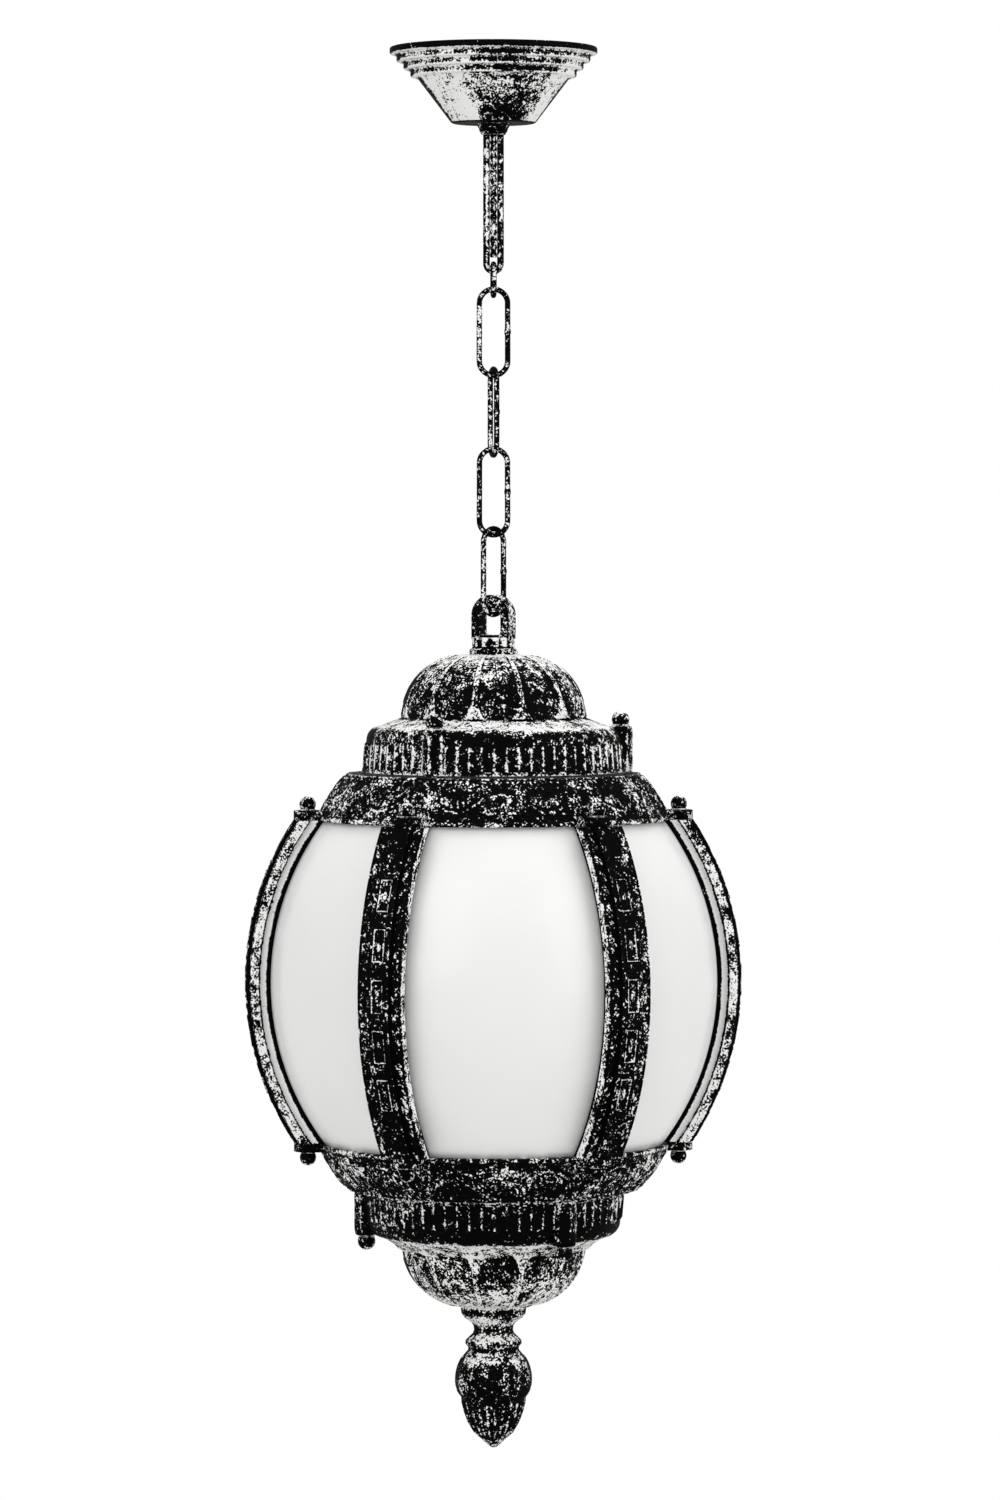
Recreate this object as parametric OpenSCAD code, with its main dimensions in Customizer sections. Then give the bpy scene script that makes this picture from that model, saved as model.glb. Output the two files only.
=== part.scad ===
// Hanging outdoor lantern: a stepped ceiling canopy, a short chain, and a barrel of six ribs and
// six opal panes.
// Millimetres, +Z up. The origin is the centre of the ceiling face, and everything hangs below it.
// Heights inside the lantern count from its waist, and the base repeats the top upside down.

/* [Ceiling plate] */
// Thickness of the ceiling plate
plate_t = 3; // [2.5:0.5:5]
// Gap between the plate's edge and the canopy
plate_gap = 7; // [5:0.5:9]
// Distance between the two ceiling screw holes
plate_spacing = 60; // [50:1:64]
// Radius of a ceiling screw hole
plate_hole_r = 2.4; // [2:0.1:3]
// Radius of the supply cable's entry hole
cable_hole_r = 5; // [4:0.5:6]
// Distance of the cable entry and the terminal block from the middle
plate_service_y = 20; // [19:0.5:23]
// Radius of the tapped boss under the plate
boss_r = 8; // [6:0.5:10]
// Height of the tapped boss
boss_h = 10; // [8:0.5:11]
// Radius of the hanger's threaded stud
stud_r = 3; // [2.5:0.25:4]
// Half width of the hanger's lock nut, across its flats
lock_nut_r = 5; // [4.5:0.25:6.5]
// Thickness of the hanger's lock nut
lock_nut_h = 5; // [3:0.5:6]
// Length of the terminal block
terminal_l = 24; // [18:1:28]
// Width of the terminal block
terminal_w = 12; // [8:1:14]
// Height of the terminal block
terminal_h = 9; // [6:1:10]
// Radius of a terminal screw
terminal_screw_r = 1.5; // [1:0.25:2]

/* [Canopy] */
// Radius of the rim against the ceiling
canopy_r = 51.8; // [49:0.1:60]
// Height from the ceiling to the flat underside
canopy_h = 37.8; // [35:0.1:46]
// Radius of the flat underside
canopy_foot_r = 20.8; // [16:0.1:26]
// Height of the plain band at the rim
canopy_band_h = 3.4; // [2:0.1:5]
// Number of stepped rings
canopy_steps = 4; // [3:1:5]
// Height of one step
canopy_step_h = 3.8; // [3:0.1:4.5]
// Width of one step
canopy_step_w = 3.45; // [2.5:0.05:4]
// Wall of the canopy
canopy_wall = 1.8; // [1.2:0.1:2.6]
// Height of the tapered collar
collar_h = 5.6; // [4.5:0.1:9]
// Radius of the collar where it meets the canopy
collar_r = 8.4; // [7.8:0.1:12]
// Wall of the collar at its lower end
collar_lip = 0.6; // [0.5:0.1:1.5]
// Radius of the collar's set screw
set_screw_r = 1.25; // [1:0.25:1.5]

/* [Hanger and chain] */
// Outer width of the long hanger link
hanger_w = 10.4; // [9.8:0.1:11]
// Wire of the hanger link
hanger_wire = 3.4; // [2.8:0.1:3.6]
// Distance from the ceiling to the hanger's lowest point
hanger_len = 112.8; // [100:0.1:150]
// Thickness of the strip between the hanger's legs
hanger_web_t = 1.6; // [1:0.1:2.4]
// Height of the eye below the strip
hanger_eye_h = 5; // [4.6:0.1:8]
// Thickness of the head above the legs
hanger_head_h = 4; // [3:0.5:6]
// Wire of the chain links
link_wire = 2.8; // [2.2:0.1:3]
// Outer length of the small joining link
joiner_len = 18.4; // [16:0.1:26]
// Outer width of the small joining link
joiner_w = 12; // [11.5:0.1:14]
// Outer length of a chain link
chain_len = 45.7; // [38:0.1:60]
// Outer width of a chain link
chain_w = 17; // [16:0.1:20]
// Turn of each chain link about the vertical
chain_turns = [0, -80, -10, 42]; // [-90:1:90]

/* [Top loop] */
// Outer width of the loop
loop_w = 21; // [19:0.1:24]
// Thickness of the loop
loop_t = 8; // [7:0.1:8.4]
// Radius of the bar that hangs on the last link
loop_bar_r = 3.8; // [3.2:0.1:3.9]
// Width of the loop's window
loop_window_w = 11.6; // [10:0.1:13]
// Height of the window below the bar
loop_window_h = 11.8; // [10:0.1:16]
// Height of the fluted block under the window
loop_base_h = 10; // [9:0.1:14]
// Radius of the block's foot
loop_foot_r = 12; // [11:0.1:14]
// Thickness of the foot
loop_foot_h = 3; // [2:0.1:4]
// Number of flutes round the block
loop_flutes = 12; // [8:1:16]
// Turn of the loop about the vertical
loop_turn = -30; // [-90:1:90]

/* [Barrel] */
// Radius of the lantern over the ribs at its waist
barrel_r = 124.5; // [120:0.5:132]
// Radius of the arc that the ribs' crests follow
arc_r = 147.5; // [142:0.5:156]
// Height from the waist to the rim of a skirt
rim_h = 80.8; // [76:0.1:84]
// Depth from the ribs' crests to the outside of the panes
pane_depth = 12.5; // [12:0.1:14]
// Thickness of a pane
pane_t = 3; // [2:0.1:3.2]
// Depth of the panes' ends inside the skirts
pane_lap = 3.2; // [2:0.1:4]
// Thickness of the seals on the panes' ends
pane_seal_t = 1.6; // [1:0.1:2]

/* [Ribs] */
// Width of a rib's face
rib_w = 24; // [22:0.5:26]
// Width of the web behind the face
rib_web_w = 18; // [17:0.5:20]
// Thickness of the face
rib_flange_t = 4.2; // [3:0.1:4.6]
// Width of the raised strip
rib_strip_w = 12; // [9:0.5:14]
// Height of the raised strip above the face
rib_strip_t = 1.3; // [0.8:0.1:1.6]
// Height of the ornament above the strip
rib_relief = 1.5; // [0.8:0.1:2]
// Depth of the grooves that hold the panes
rib_groove_d = 3; // [2.5:0.1:4]
// Width of the lip behind a groove
rib_lip = 1.8; // [1.5:0.1:2.4]
// Distance between the raised rectangles along the crest
ornament_pitch = 24.75; // [22:0.05:26]
// Length of a raised rectangle
ornament_len = 16; // [12:0.5:17]
// Width of a raised rectangle
ornament_w = 6; // [4:0.5:8]
// Radius of a bead
bead_r = 2.6; // [2:0.1:3]
// Length of the plain pad at each end of a rib
pad_len = 14; // [8:0.5:16]

/* [Skirts] */
// Height of a skirt
skirt_h = 23; // [21:0.1:28]
// Wall of a skirt
skirt_wall = 2.8; // [2.2:0.1:3.4]
// Width of the step outside the drum
skirt_step = 5.8; // [4:0.1:7]
// Radius of the skirt's opening
skirt_opening_r = 56.5; // [50:0.1:57.5]
// Thickness of the flange that the drum stands on
flange_t = 3.5; // [2.5:0.1:4]
// Radius of an ear
ear_r = 7; // [6.5:0.1:7.4]
// Thickness of an ear
ear_t = 4.6; // [3.5:0.1:5.5]

/* [Crown and cup] */
// Radius of the drum at its foot
drum_r = 65.8; // [64.5:0.1:67]
// Height of the drum up to its shoulder
drum_h = 22.8; // [21:0.1:25]
// Inward taper of the drum
drum_taper = 2.2; // [1.5:0.1:3]
// Radius of the rounded shoulder
shoulder_r = 7; // [5:0.1:8]
// Rise of the shoulder between the drum and the dome on the crown
crown_rise = 4.2; // [3:0.1:5]
// Extra rise of the cup's shoulder over the crown's
cup_extra_rise = 2.4; // [0.5:0.1:3]
// Height of the plain rim under the reeds
drum_rim_h = 1.7; // [1:0.1:3]
// Height of the reeded band
reed_h = 12.5; // [8:0.1:13]
// Number of reeds round the drum
reeds = 66; // [48:2:80]
// Height of a reed
reed_relief = 0.9; // [0.5:0.1:1.1]
// Radius of the dome's curve
dome_arc_r = 31.3; // [28:0.1:34]
// Radius of the dome where it meets the shoulder
dome_r = 46; // [43:0.1:49]
// Number of gores
gores = 12; // [8:1:16]
// Angle that one ridge covers
ridge_deg = 2.4; // [1.5:0.1:4]
// Height of a ridge
ridge_relief = 0.9; // [0.5:0.1:1.5]
// Wall of the castings
cast_wall = 2.7; // [2.2:0.1:3.4]
// Thickness of the seals under the castings
cast_seal_t = 1; // [0.6:0.1:2]

/* [Screws] */
// Radius of the screws' shanks
screw_r = 2; // [1.5:0.1:2.3]
// Radius of a boss for a casting screw
screw_boss_r = 5.8; // [5:0.1:6.2]
// Radius of a casting screw's ball
cast_ball_r = 4.4; // [3.8:0.1:5]
// Radius of a rib screw's ball
rib_ball_r = 4.1; // [3.5:0.1:4.6]
// Grip of the rib screws in the ribs
rib_grip = 11; // [8:0.5:12]
// Grip of the casting screws in the skirts
cast_grip = 9; // [6:0.5:10]

/* [Finial] */
// Radius of the turned neck's ring
neck_r = 14.2; // [12:0.1:15]
// Height of the turned neck
neck_h = 21.5; // [18:0.1:28]
// Radius of the acorn's cap
acorn_r = 18.9; // [17:0.1:22]
// Height of the acorn's cap
acorn_cap_h = 24; // [20:0.1:28]
// Height of the acorn's nut
acorn_nut_h = 26.5; // [22:0.1:32]
// Radius of the finial's stud
finial_stud_r = 4; // [3:0.25:5]
// Depth of the stud in the finial
finial_stud_grip = 16; // [10:0.5:20]

/* [Nipple and lampholder] */
// Radius of the hollow threaded nipple
nipple_r = 5; // [4.5:0.1:5.5]
// Radius of the nipple's bore
nipple_bore_r = 3.4; // [3:0.1:3.8]
// Length of the nipple
nipple_len = 66; // [56:0.5:76]
// Grip of the nipple in the loop and in the lampholder
nipple_grip = 8; // [6:0.1:8.5]
// Thickness of the washers
washer_t = 1.5; // [1:0.1:2.5]
// Radius of the washers
washer_r = 10; // [9:0.1:11]
// Thickness of the inner nuts
nut_h = 5; // [4:0.1:7]
// Half width of the inner nuts, across their flats
nut_r = 8; // [7:0.1:9]
// Outer radius of the lampholder
holder_r = 20; // [19:0.1:24]
// Height of the lampholder's cap
holder_cap_h = 26; // [22:0.1:32]
// Height of the ceramic body
holder_body_h = 34; // [32:0.1:40]
// Wall of the lampholder's cap
holder_wall = 1.6; // [1.2:0.1:2.4]
// Outer radius of the screw shell
shell_r = 14.4; // [14.2:0.1:15]
// Wall of the screw shell
shell_wall = 0.6; // [0.4:0.1:0.7]
// Radius of the centre contact
contact_r = 4; // [3:0.1:6]
// Height of the centre contact
contact_h = 2; // [1:0.1:3]

/* [Bulb] */
// Radius of the bulb's screw cap
bulb_cap_r = 13.2; // [12.8:0.1:13.3]
// Length of the bulb's screw cap
bulb_cap_h = 25; // [23:0.5:28]
// Radius of the bulb's glass
bulb_r = 30; // [25:0.5:34]
// Length of the bulb from contact to tip
bulb_len = 106; // [98:0.5:116]
// Wall of the bulb's glass
bulb_wall = 1; // [0.8:0.1:1.5]

/* [Fits] */
// Clearance all round a running or threaded fit
fit = 0.05; // [0.02:0.01:0.1]
// Clearance all round a loose hole
loose = 0.25; // [0.1:0.05:0.4]
// Gap between two links, and between bodies that move past each other
gap = 0.3; // [0.2:0.05:0.4]

/* [Hidden] */
$fn = 72;
over = 0.5;
sides = 6;
chain_n = len(chain_turns);

// Levels below the ceiling, from the top down
boss_z = -plate_t - boss_h;
head_z = boss_z - lock_nut_h;
collar_bore_r = hanger_w / 2 + gap;
cone_top_r = canopy_r - canopy_steps * canopy_step_w;
steps_z = -canopy_band_h - (canopy_steps - 1) * canopy_step_h;
tread_drop = 0.4;
collar_wall = 1.4;
collar_neck_r = collar_bore_r + collar_wall;
knee_r = cone_top_r - 1.5 * canopy_wall;
canopy_inner_r = canopy_r - 1.6 * canopy_wall;
plate_r = canopy_inner_r + plate_t * (canopy_inner_r - knee_r) / steps_z - plate_gap;
hanger_eye_z = -hanger_len + hanger_wire + hanger_eye_h;
hanger_bar_z = -hanger_len + hanger_wire / 2;
joiner_top = hanger_bar_z + hanger_wire / 2 + gap + link_wire;
joiner_bar_z = joiner_top - joiner_len + link_wire / 2;
function link_top(k) = joiner_bar_z + 1.5 * link_wire + gap - k * (chain_len - 2 * link_wire - gap);
last_bar_z = link_top(chain_n - 1) - chain_len + link_wire / 2;
loop_bar_z = last_bar_z + link_wire / 2 + gap + loop_bar_r;
window_floor_z = loop_bar_z - loop_bar_r - loop_window_h;
lantern_top_z = window_floor_z - loop_base_h;
loop_brow = 0.6;

// Heights from the lantern's waist
flange_h = rim_h + skirt_h;
drum_foot_h = flange_h + cast_seal_t;
shoulder_h = drum_foot_h + drum_h;
drum_top_r = drum_r - drum_taper;
shoulder_c = [drum_top_r - shoulder_r, shoulder_h - shoulder_r];
dome_foot_h = shoulder_h + crown_rise;
dome_c = [dome_r - dome_arc_r, dome_foot_h];
dome_top_h = dome_foot_h + dome_arc_r;
waist_z = lantern_top_z - dome_top_h;
seat_h = dome_top_h - cast_wall - 0.8;
drum_foot_wall = cast_wall + 0.3;
foot_tuck = 0.3;

// Arcs of the barrel, whose centre lies beyond the axis
arc_inset = arc_r - barrel_r;
function arc_at(r, h) = sqrt(r * r - h * h) - arc_inset;
pane_out = arc_r - pane_depth;
pane_in = pane_out - pane_t;
pane_top_h = rim_h + pane_lap;
pocket_h = pane_top_h + pane_seal_t;
groove_slack = [0.5, 0.3];
groove_in = pane_in - groove_slack[0];
groove_out = pane_out + groove_slack[1];
rib_crest = arc_r - rib_relief;
rib_face = rib_crest - rib_strip_t;
rib_back = rib_face - rib_flange_t;
rib_inner = groove_in - rib_lip;
pane_edge = rib_web_w / 2 - rib_groove_d + 2 * gap;
skirt_rim_r = arc_at(groove_out, rim_h) + skirt_wall;
skirt_top_r = drum_r + skirt_step;
skirt_power = 0.72;
function skirt_at(h) = skirt_top_r + (skirt_rim_r - skirt_top_r) * pow((flange_h - h) / skirt_h, skirt_power);
ledge_t = 2.5;
ledge_r = arc_at(pane_in, pane_top_h) - 2;
ear_c = arc_at(arc_r, rim_h) - ear_r - 0.4;
ear_top_h = rim_h + ear_t;
boss_c = drum_r - 2.1;
boss_top_h = shoulder_h;
rib_ball_rise = 3;
cast_ball_rise = 3;
tap_boss_h = 7;
thread_r = screw_r + fit;
hole_r = screw_r + loose;

// Levels of the lampholder, below the ceiling
nipple_top_z = lantern_top_z + nipple_grip;
nipple_end_z = nipple_top_z - nipple_len;
holder_top_z = nipple_end_z + nipple_grip;
holder_neck_h = nipple_grip + 1;
holder_neck_r = nipple_r + 3;
body_top_z = holder_top_z - holder_neck_h - 6;
body_floor_z = body_top_z - 10;
contact_z = body_floor_z - contact_h;
bulb_top_z = contact_z - gap;
bulb_end_z = bulb_top_z - bulb_len;
bulb_ball_z = bulb_end_z + bulb_r;
body_end_z = body_top_z - holder_body_h;
bulb_neck_z = bulb_top_z - bulb_cap_h;

iron = [0.10, 0.10, 0.11];
steel = [0.66, 0.67, 0.69];
brassy = [0.78, 0.62, 0.30];
opal = [0.96, 0.96, 0.95];
ceramic = [0.92, 0.91, 0.87];
gasket = [0.20, 0.20, 0.20];

// Shared shapes
module tube_z(r, bore, low, high) {
  difference() {
    translate([0, 0, low]) cylinder(r = r, h = high - low);
    translate([0, 0, low - over]) cylinder(r = bore, h = high - low + 2 * over);
  }
}

module hex_nut(flat_r, bore, low, high) {
  difference() {
    translate([0, 0, low]) cylinder(r = flat_r / cos(30), h = high - low, $fn = sides);
    translate([0, 0, low - over]) cylinder(r = bore, h = high - low + 2 * over);
  }
}

module half_ring(centre_r, wire_r) {
  rotate([90, 0, 0]) rotate_extrude(angle = 180) translate([centre_r, 0]) circle(wire_r);
}

// An oval link in the XZ plane, with its top at the origin
module oval_link(length, width, wire) {
  bend = (width - wire) / 2;
  leg = length - width;
  translate([0, 0, -width / 2]) half_ring(bend, wire / 2);
  translate([0, 0, -width / 2 - leg]) mirror([0, 0, 1]) half_ring(bend, wire / 2);
  for (side = [-1, 1])
    translate([side * bend, 0, -width / 2 - leg]) cylinder(d = wire, h = leg);
}

// A ball-headed screw that stands on the plane z = 0
module ball_screw(ball_r, rise, shank_l) {
  intersection() {
    translate([0, 0, rise]) sphere(ball_r);
    translate([-ball_r, -ball_r, 0]) cube([2 * ball_r, 2 * ball_r, rise + ball_r + over]);
  }
  translate([0, 0, -shank_l]) cylinder(r = screw_r, h = shank_l + over);
}

module at_waist() {
  translate([0, 0, waist_z]) children();
}

module in_base() {
  translate([0, 0, waist_z]) mirror([0, 0, 1]) children();
}

// Ceiling plate and canopy
module ceiling_plate() {
  color(steel) difference() {
    union() {
      translate([0, 0, -plate_t]) cylinder(r = plate_r, h = plate_t);
      translate([0, 0, boss_z]) cylinder(r = boss_r, h = boss_h + over);
    }
    translate([0, 0, boss_z - over]) cylinder(r = stud_r + fit, h = boss_h + plate_t / 3 + over);
    for (side = [-1, 1]) translate([side * plate_spacing / 2, 0, -plate_t - over])
      cylinder(r = plate_hole_r, h = plate_t + 2 * over);
    translate([0, plate_service_y, -plate_t - over]) cylinder(r = cable_hole_r, h = plate_t + 2 * over);
    for (side = [-1, 1]) translate([side * terminal_l / 3, -plate_service_y, -plate_t - over])
      cylinder(r = terminal_screw_r + fit, h = plate_t + 2 * over);
  }
}

module lock_nut() {
  color(steel) hex_nut(lock_nut_r, stud_r + fit, head_z, boss_z);
}

module terminal_block() {
  color(ceramic) difference() {
    translate([-terminal_l / 2, -plate_service_y - terminal_w / 2, -plate_t - terminal_h])
      cube([terminal_l, terminal_w, terminal_h]);
    for (side = [-1, 1]) translate([side * terminal_l / 3, -plate_service_y, -plate_t - terminal_h - over])
      cylinder(r = terminal_screw_r + loose, h = terminal_h + 2 * over);
  }
}

module terminal_screws() {
  head_h = 2;
  head_rim = 1.2;
  low = -plate_t - terminal_h;
  color(steel) for (side = [-1, 1]) translate([side * terminal_l / 3, -plate_service_y, low]) {
    translate([0, 0, -head_h]) cylinder(r = terminal_screw_r + head_rim, h = head_h);
    translate([0, 0, -head_h / 2]) cylinder(r = terminal_screw_r, h = terminal_h + plate_t);
  }
}

module canopy() {
  outline = [for (i = [0:canopy_steps - 1]) each [
    [canopy_r - i * canopy_step_w, i == 0 ? 0 : -canopy_band_h - (i - 1) * canopy_step_h - tread_drop],
    [canopy_r - i * canopy_step_w, -canopy_band_h - i * canopy_step_h]]];
  color(iron) rotate_extrude() polygon(concat(
    [[canopy_inner_r, 0]], outline,
    [[cone_top_r, steps_z - tread_drop], [canopy_foot_r, -canopy_h],
     [collar_neck_r, -canopy_h], [collar_neck_r, -canopy_h + canopy_wall],
     [canopy_foot_r - canopy_wall, -canopy_h + canopy_wall], [knee_r, steps_z]]));
}

module canopy_collar() {
  neck_top_z = -canopy_h + canopy_wall + 1;
  band_h = 1;
  band_taper = 0.3;
  color(iron) difference() {
    rotate_extrude() polygon([[collar_bore_r, neck_top_z], [collar_neck_r, neck_top_z],
      [collar_neck_r, -canopy_h], [collar_r, -canopy_h], [collar_r - band_taper, -canopy_h - band_h],
      [collar_bore_r + collar_lip, -canopy_h - collar_h], [collar_bore_r, -canopy_h - collar_h]]);
    translate([0, 0, -canopy_h - collar_h / 2]) rotate([-90, 0, 0])
      cylinder(r = set_screw_r + fit, h = collar_r + over);
  }
}

module set_screw() {
  tip = hanger_web_t / 2 + gap;
  color(steel) translate([0, tip, -canopy_h - collar_h / 2])
    rotate([-90, 0, 0]) cylinder(r = set_screw_r, h = collar_bore_r + 1 - tip);
}

module hanger_link() {
  bend = (hanger_w - hanger_wire) / 2;
  arc_z = -hanger_len + hanger_w / 2;
  color(iron) {
    translate([0, 0, head_z - over]) cylinder(r = stud_r, h = -head_z - 0.8 * plate_t + over);
    translate([0, 0, head_z - hanger_head_h]) cylinder(r = hanger_w / 2, h = hanger_head_h);
    for (side = [-1, 1]) translate([side * bend, 0, arc_z])
      cylinder(d = hanger_wire, h = head_z - hanger_head_h / 2 - arc_z);
    translate([0, 0, arc_z]) mirror([0, 0, 1]) half_ring(bend, hanger_wire / 2);
    translate([-bend, -hanger_web_t / 2, hanger_eye_z])
      cube([2 * bend, hanger_web_t, head_z - hanger_head_h / 2 - hanger_eye_z]);
  }
}

module joining_link() {
  color(iron) translate([0, 0, joiner_top]) rotate([0, 0, 90]) oval_link(joiner_len, joiner_w, link_wire);
}

module chain_link(k) {
  color(iron) translate([0, 0, link_top(k)]) rotate([0, 0, chain_turns[k]])
    oval_link(chain_len, chain_w, link_wire);
}

// Lantern top
module loop_outline() {
  arch_z = loop_bar_z + loop_bar_r + loop_brow - loop_w / 2;
  translate([0, arch_z]) circle(d = loop_w);
  translate([-loop_w / 2, window_floor_z - 2]) square([loop_w, arch_z - window_floor_z + 2]);
}

module top_loop() {
  block_r = loop_w / 2 - 0.7;
  flute_r = 1.4;
  plinth = 2;
  color(iron) rotate([0, 0, loop_turn]) difference() {
    union() {
      intersection() {
        difference() {
          rotate([90, 0, 0]) linear_extrude(height = loop_t, center = true) loop_outline();
          translate([-loop_window_w / 2, -loop_t, window_floor_z])
            cube([loop_window_w, 2 * loop_t, loop_bar_z - window_floor_z]);
        }
        translate([-loop_w, -loop_w, window_floor_z - plinth])
          cube([2 * loop_w, 2 * loop_w, loop_bar_z - window_floor_z + plinth]);
      }
      intersection() {
        rotate([90, 0, 0]) linear_extrude(height = 3 * loop_t, center = true) loop_outline();
        translate([-loop_w / 2, 0, loop_bar_z]) rotate([0, 90, 0]) cylinder(r = loop_bar_r, h = loop_w);
      }
      translate([0, 0, lantern_top_z]) cylinder(r = block_r, h = loop_base_h);
      translate([0, 0, lantern_top_z]) cylinder(r = loop_foot_r, h = loop_foot_h);
      for (i = [0:loop_flutes - 1]) rotate([0, 0, i * 360 / loop_flutes])
        translate([block_r - 0.5, 0, lantern_top_z]) cylinder(r = flute_r, h = loop_base_h - 1);
    }
    translate([0, 0, lantern_top_z - over]) cylinder(r = nipple_r + fit, h = nipple_grip + over);
    translate([0, 0, lantern_top_z]) cylinder(r = nipple_bore_r, h = loop_base_h + over);
  }
}

module nipple() {
  color(brassy) tube_z(nipple_r, nipple_bore_r, nipple_end_z, nipple_top_z);
}

module nipple_washer() {
  color(steel) tube_z(washer_r, nipple_r + fit, waist_z + seat_h - washer_t, waist_z + seat_h);
}

module nipple_nut() {
  top = waist_z + seat_h - washer_t;
  color(steel) hex_nut(nut_r, nipple_r + fit, top - nut_h, top);
}

// The crown and the cup share this casting: a reeded drum with three bosses, and a gored dome
module casting_outer(rise) {
  foot_h = shoulder_h + rise;
  foot_r = rise > crown_rise ? dome_r - foot_tuck : dome_r;
  polygon([[0, drum_foot_h], [drum_r, drum_foot_h], [drum_r, drum_foot_h + drum_rim_h],
    [drum_r - reed_relief, drum_foot_h + drum_rim_h], [drum_top_r, shoulder_c[1]],
    [shoulder_c[0], shoulder_h], [foot_r, foot_h], [0, foot_h]]);
  translate(shoulder_c) circle(shoulder_r);
  dome_quarter(dome_arc_r, min(foot_h, dome_foot_h));
}

module dome_quarter(r, low) {
  translate([0, low]) square([dome_c[0], dome_c[1] + r - low]);
  intersection() {
    translate(dome_c) circle(r);
    translate([0, dome_c[1]]) square([dome_r + r, r + over]);
  }
}

module casting_inner(rise) {
  knee_h = min(shoulder_h + rise - cast_wall, dome_c[1] - over / 2);
  polygon([[0, drum_foot_h - over], [drum_r - drum_foot_wall, drum_foot_h - over],
    [drum_top_r - cast_wall, shoulder_c[1]], [shoulder_c[0], shoulder_h - cast_wall],
    [dome_r - cast_wall, knee_h], [dome_r - cast_wall, dome_c[1]], [0, dome_c[1]]]);
  intersection() {
    union() {
      translate([0, dome_c[1] - cast_wall]) square([dome_c[0], dome_arc_r]);
      translate(dome_c) circle(dome_arc_r - cast_wall);
    }
    translate([0, dome_c[1] - cast_wall]) square([dome_r, seat_h - dome_c[1] + cast_wall]);
  }
}

module reeded_band() {
  crest_r = drum_r - 0.2;
  valley_r = drum_r - reed_relief - 0.1;
  points = [for (i = [0:2 * reeds - 1]) let (a = i * 180 / reeds, r = i % 2 == 0 ? crest_r : valley_r)
    [r * cos(a), r * sin(a)]];
  intersection() {
    translate([0, 0, drum_foot_h + drum_rim_h - 0.2]) linear_extrude(height = reed_h) polygon(points);
    translate([0, 0, drum_foot_h]) cylinder(r1 = drum_r + 0.4, r2 = drum_top_r + 0.6, h = drum_h);
  }
}

module casting(rise, first_boss, centre_r) {
  difference() {
    union() {
      difference() {
        union() {
          rotate_extrude() casting_outer(rise);
          reeded_band();
          for (i = [0:gores - 1]) rotate([0, 0, (i + 0.5) * 360 / gores - ridge_deg / 2])
            rotate_extrude(angle = ridge_deg) ridge_section();
        }
        rotate_extrude() casting_inner(rise);
      }
      for (i = [0:2]) rotate([0, 0, first_boss + 120 * i]) translate([boss_c, 0, drum_foot_h])
        cylinder(r = screw_boss_r, h = boss_top_h - drum_foot_h);
    }
    for (i = [0:2]) rotate([0, 0, first_boss + 120 * i]) translate([boss_c, 0, drum_foot_h - over])
      cylinder(r = hole_r, h = drum_h + 2 * over);
    translate([0, 0, seat_h - over]) cylinder(r = centre_r + loose, h = dome_top_h - seat_h + 2 * over);
  }
}

module ridge_section() {
  difference() {
    intersection() {
      translate(dome_c) circle(dome_arc_r + ridge_relief);
      translate([dome_c[0] + 4, dome_c[1]]) square(2 * dome_arc_r);
    }
    translate(dome_c) circle(dome_arc_r - cast_wall / 2);
  }
}

module casting_seal() {
  difference() {
    tube_z(drum_r - 0.8, skirt_opening_r + 2, flange_h, drum_foot_h);
    for (i = [0:5]) rotate([0, 0, 60 * i]) translate([boss_c, 0, flange_h - over])
      cylinder(r = hole_r, h = cast_seal_t + 2 * over);
  }
}

module cast_screw(angle) {
  rotate([0, 0, angle]) translate([boss_c, 0, boss_top_h])
    ball_screw(cast_ball_r, cast_ball_rise, boss_top_h - flange_h + cast_grip);
}

module crown() {
  color(iron) at_waist() casting(crown_rise, 0, nipple_r);
}

module crown_seal() {
  color(gasket) at_waist() casting_seal();
}

module crown_screws() {
  color(steel) at_waist() for (i = [0:2]) cast_screw(120 * i);
}

// Skirts
module skirt_section() {
  steps = 8;
  low = pocket_h + ledge_t;
  roof_h = flange_h - flange_t;
  bend_h = roof_h - 2;
  difference() {
    polygon(concat([[0, rim_h]],
      [for (i = [0:steps]) let (h = rim_h + i * skirt_h / steps) [skirt_at(h), h]],
      [[0, flange_h]]));
    polygon([[0, pocket_h - 0.01], [ledge_r, pocket_h - 0.01], [ledge_r, low],
      [skirt_at(low) - skirt_wall - 1.5, low], [skirt_at(bend_h) - skirt_wall, bend_h],
      [skirt_at(bend_h) - skirt_wall - 2, roof_h], [0, roof_h]]);
    translate([0, rim_h - over]) square([skirt_opening_r, skirt_h + 2 * over]);
    pocket_section();
  }
}

module pocket_section() {
  intersection() {
    translate([-arc_inset, 0]) circle(groove_out, $fn = 180);
    translate([0, rim_h - over]) square([barrel_r, pocket_h - rim_h + over]);
  }
}

module skirt(first_boss) {
  boss_low = flange_h - flange_t - tap_boss_h;
  difference() {
    union() {
      rotate_extrude() skirt_section();
      for (i = [0:5]) rotate([0, 0, 60 * i]) ear();
      for (i = [0:2]) rotate([0, 0, first_boss + 120 * i])
        translate([boss_c, 0, boss_low]) cylinder(r = screw_boss_r - 0.8, h = tap_boss_h + over);
    }
    rotate_extrude() pocket_section();
    for (i = [0:5]) rotate([0, 0, 60 * i]) translate([ear_c, 0, rim_h - over])
      cylinder(r = hole_r, h = ear_t + 2 * over);
    for (i = [0:2]) rotate([0, 0, first_boss + 120 * i])
      translate([boss_c, 0, boss_low - over]) cylinder(r = thread_r, h = flange_h - boss_low + 2 * over);
  }
}

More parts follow.
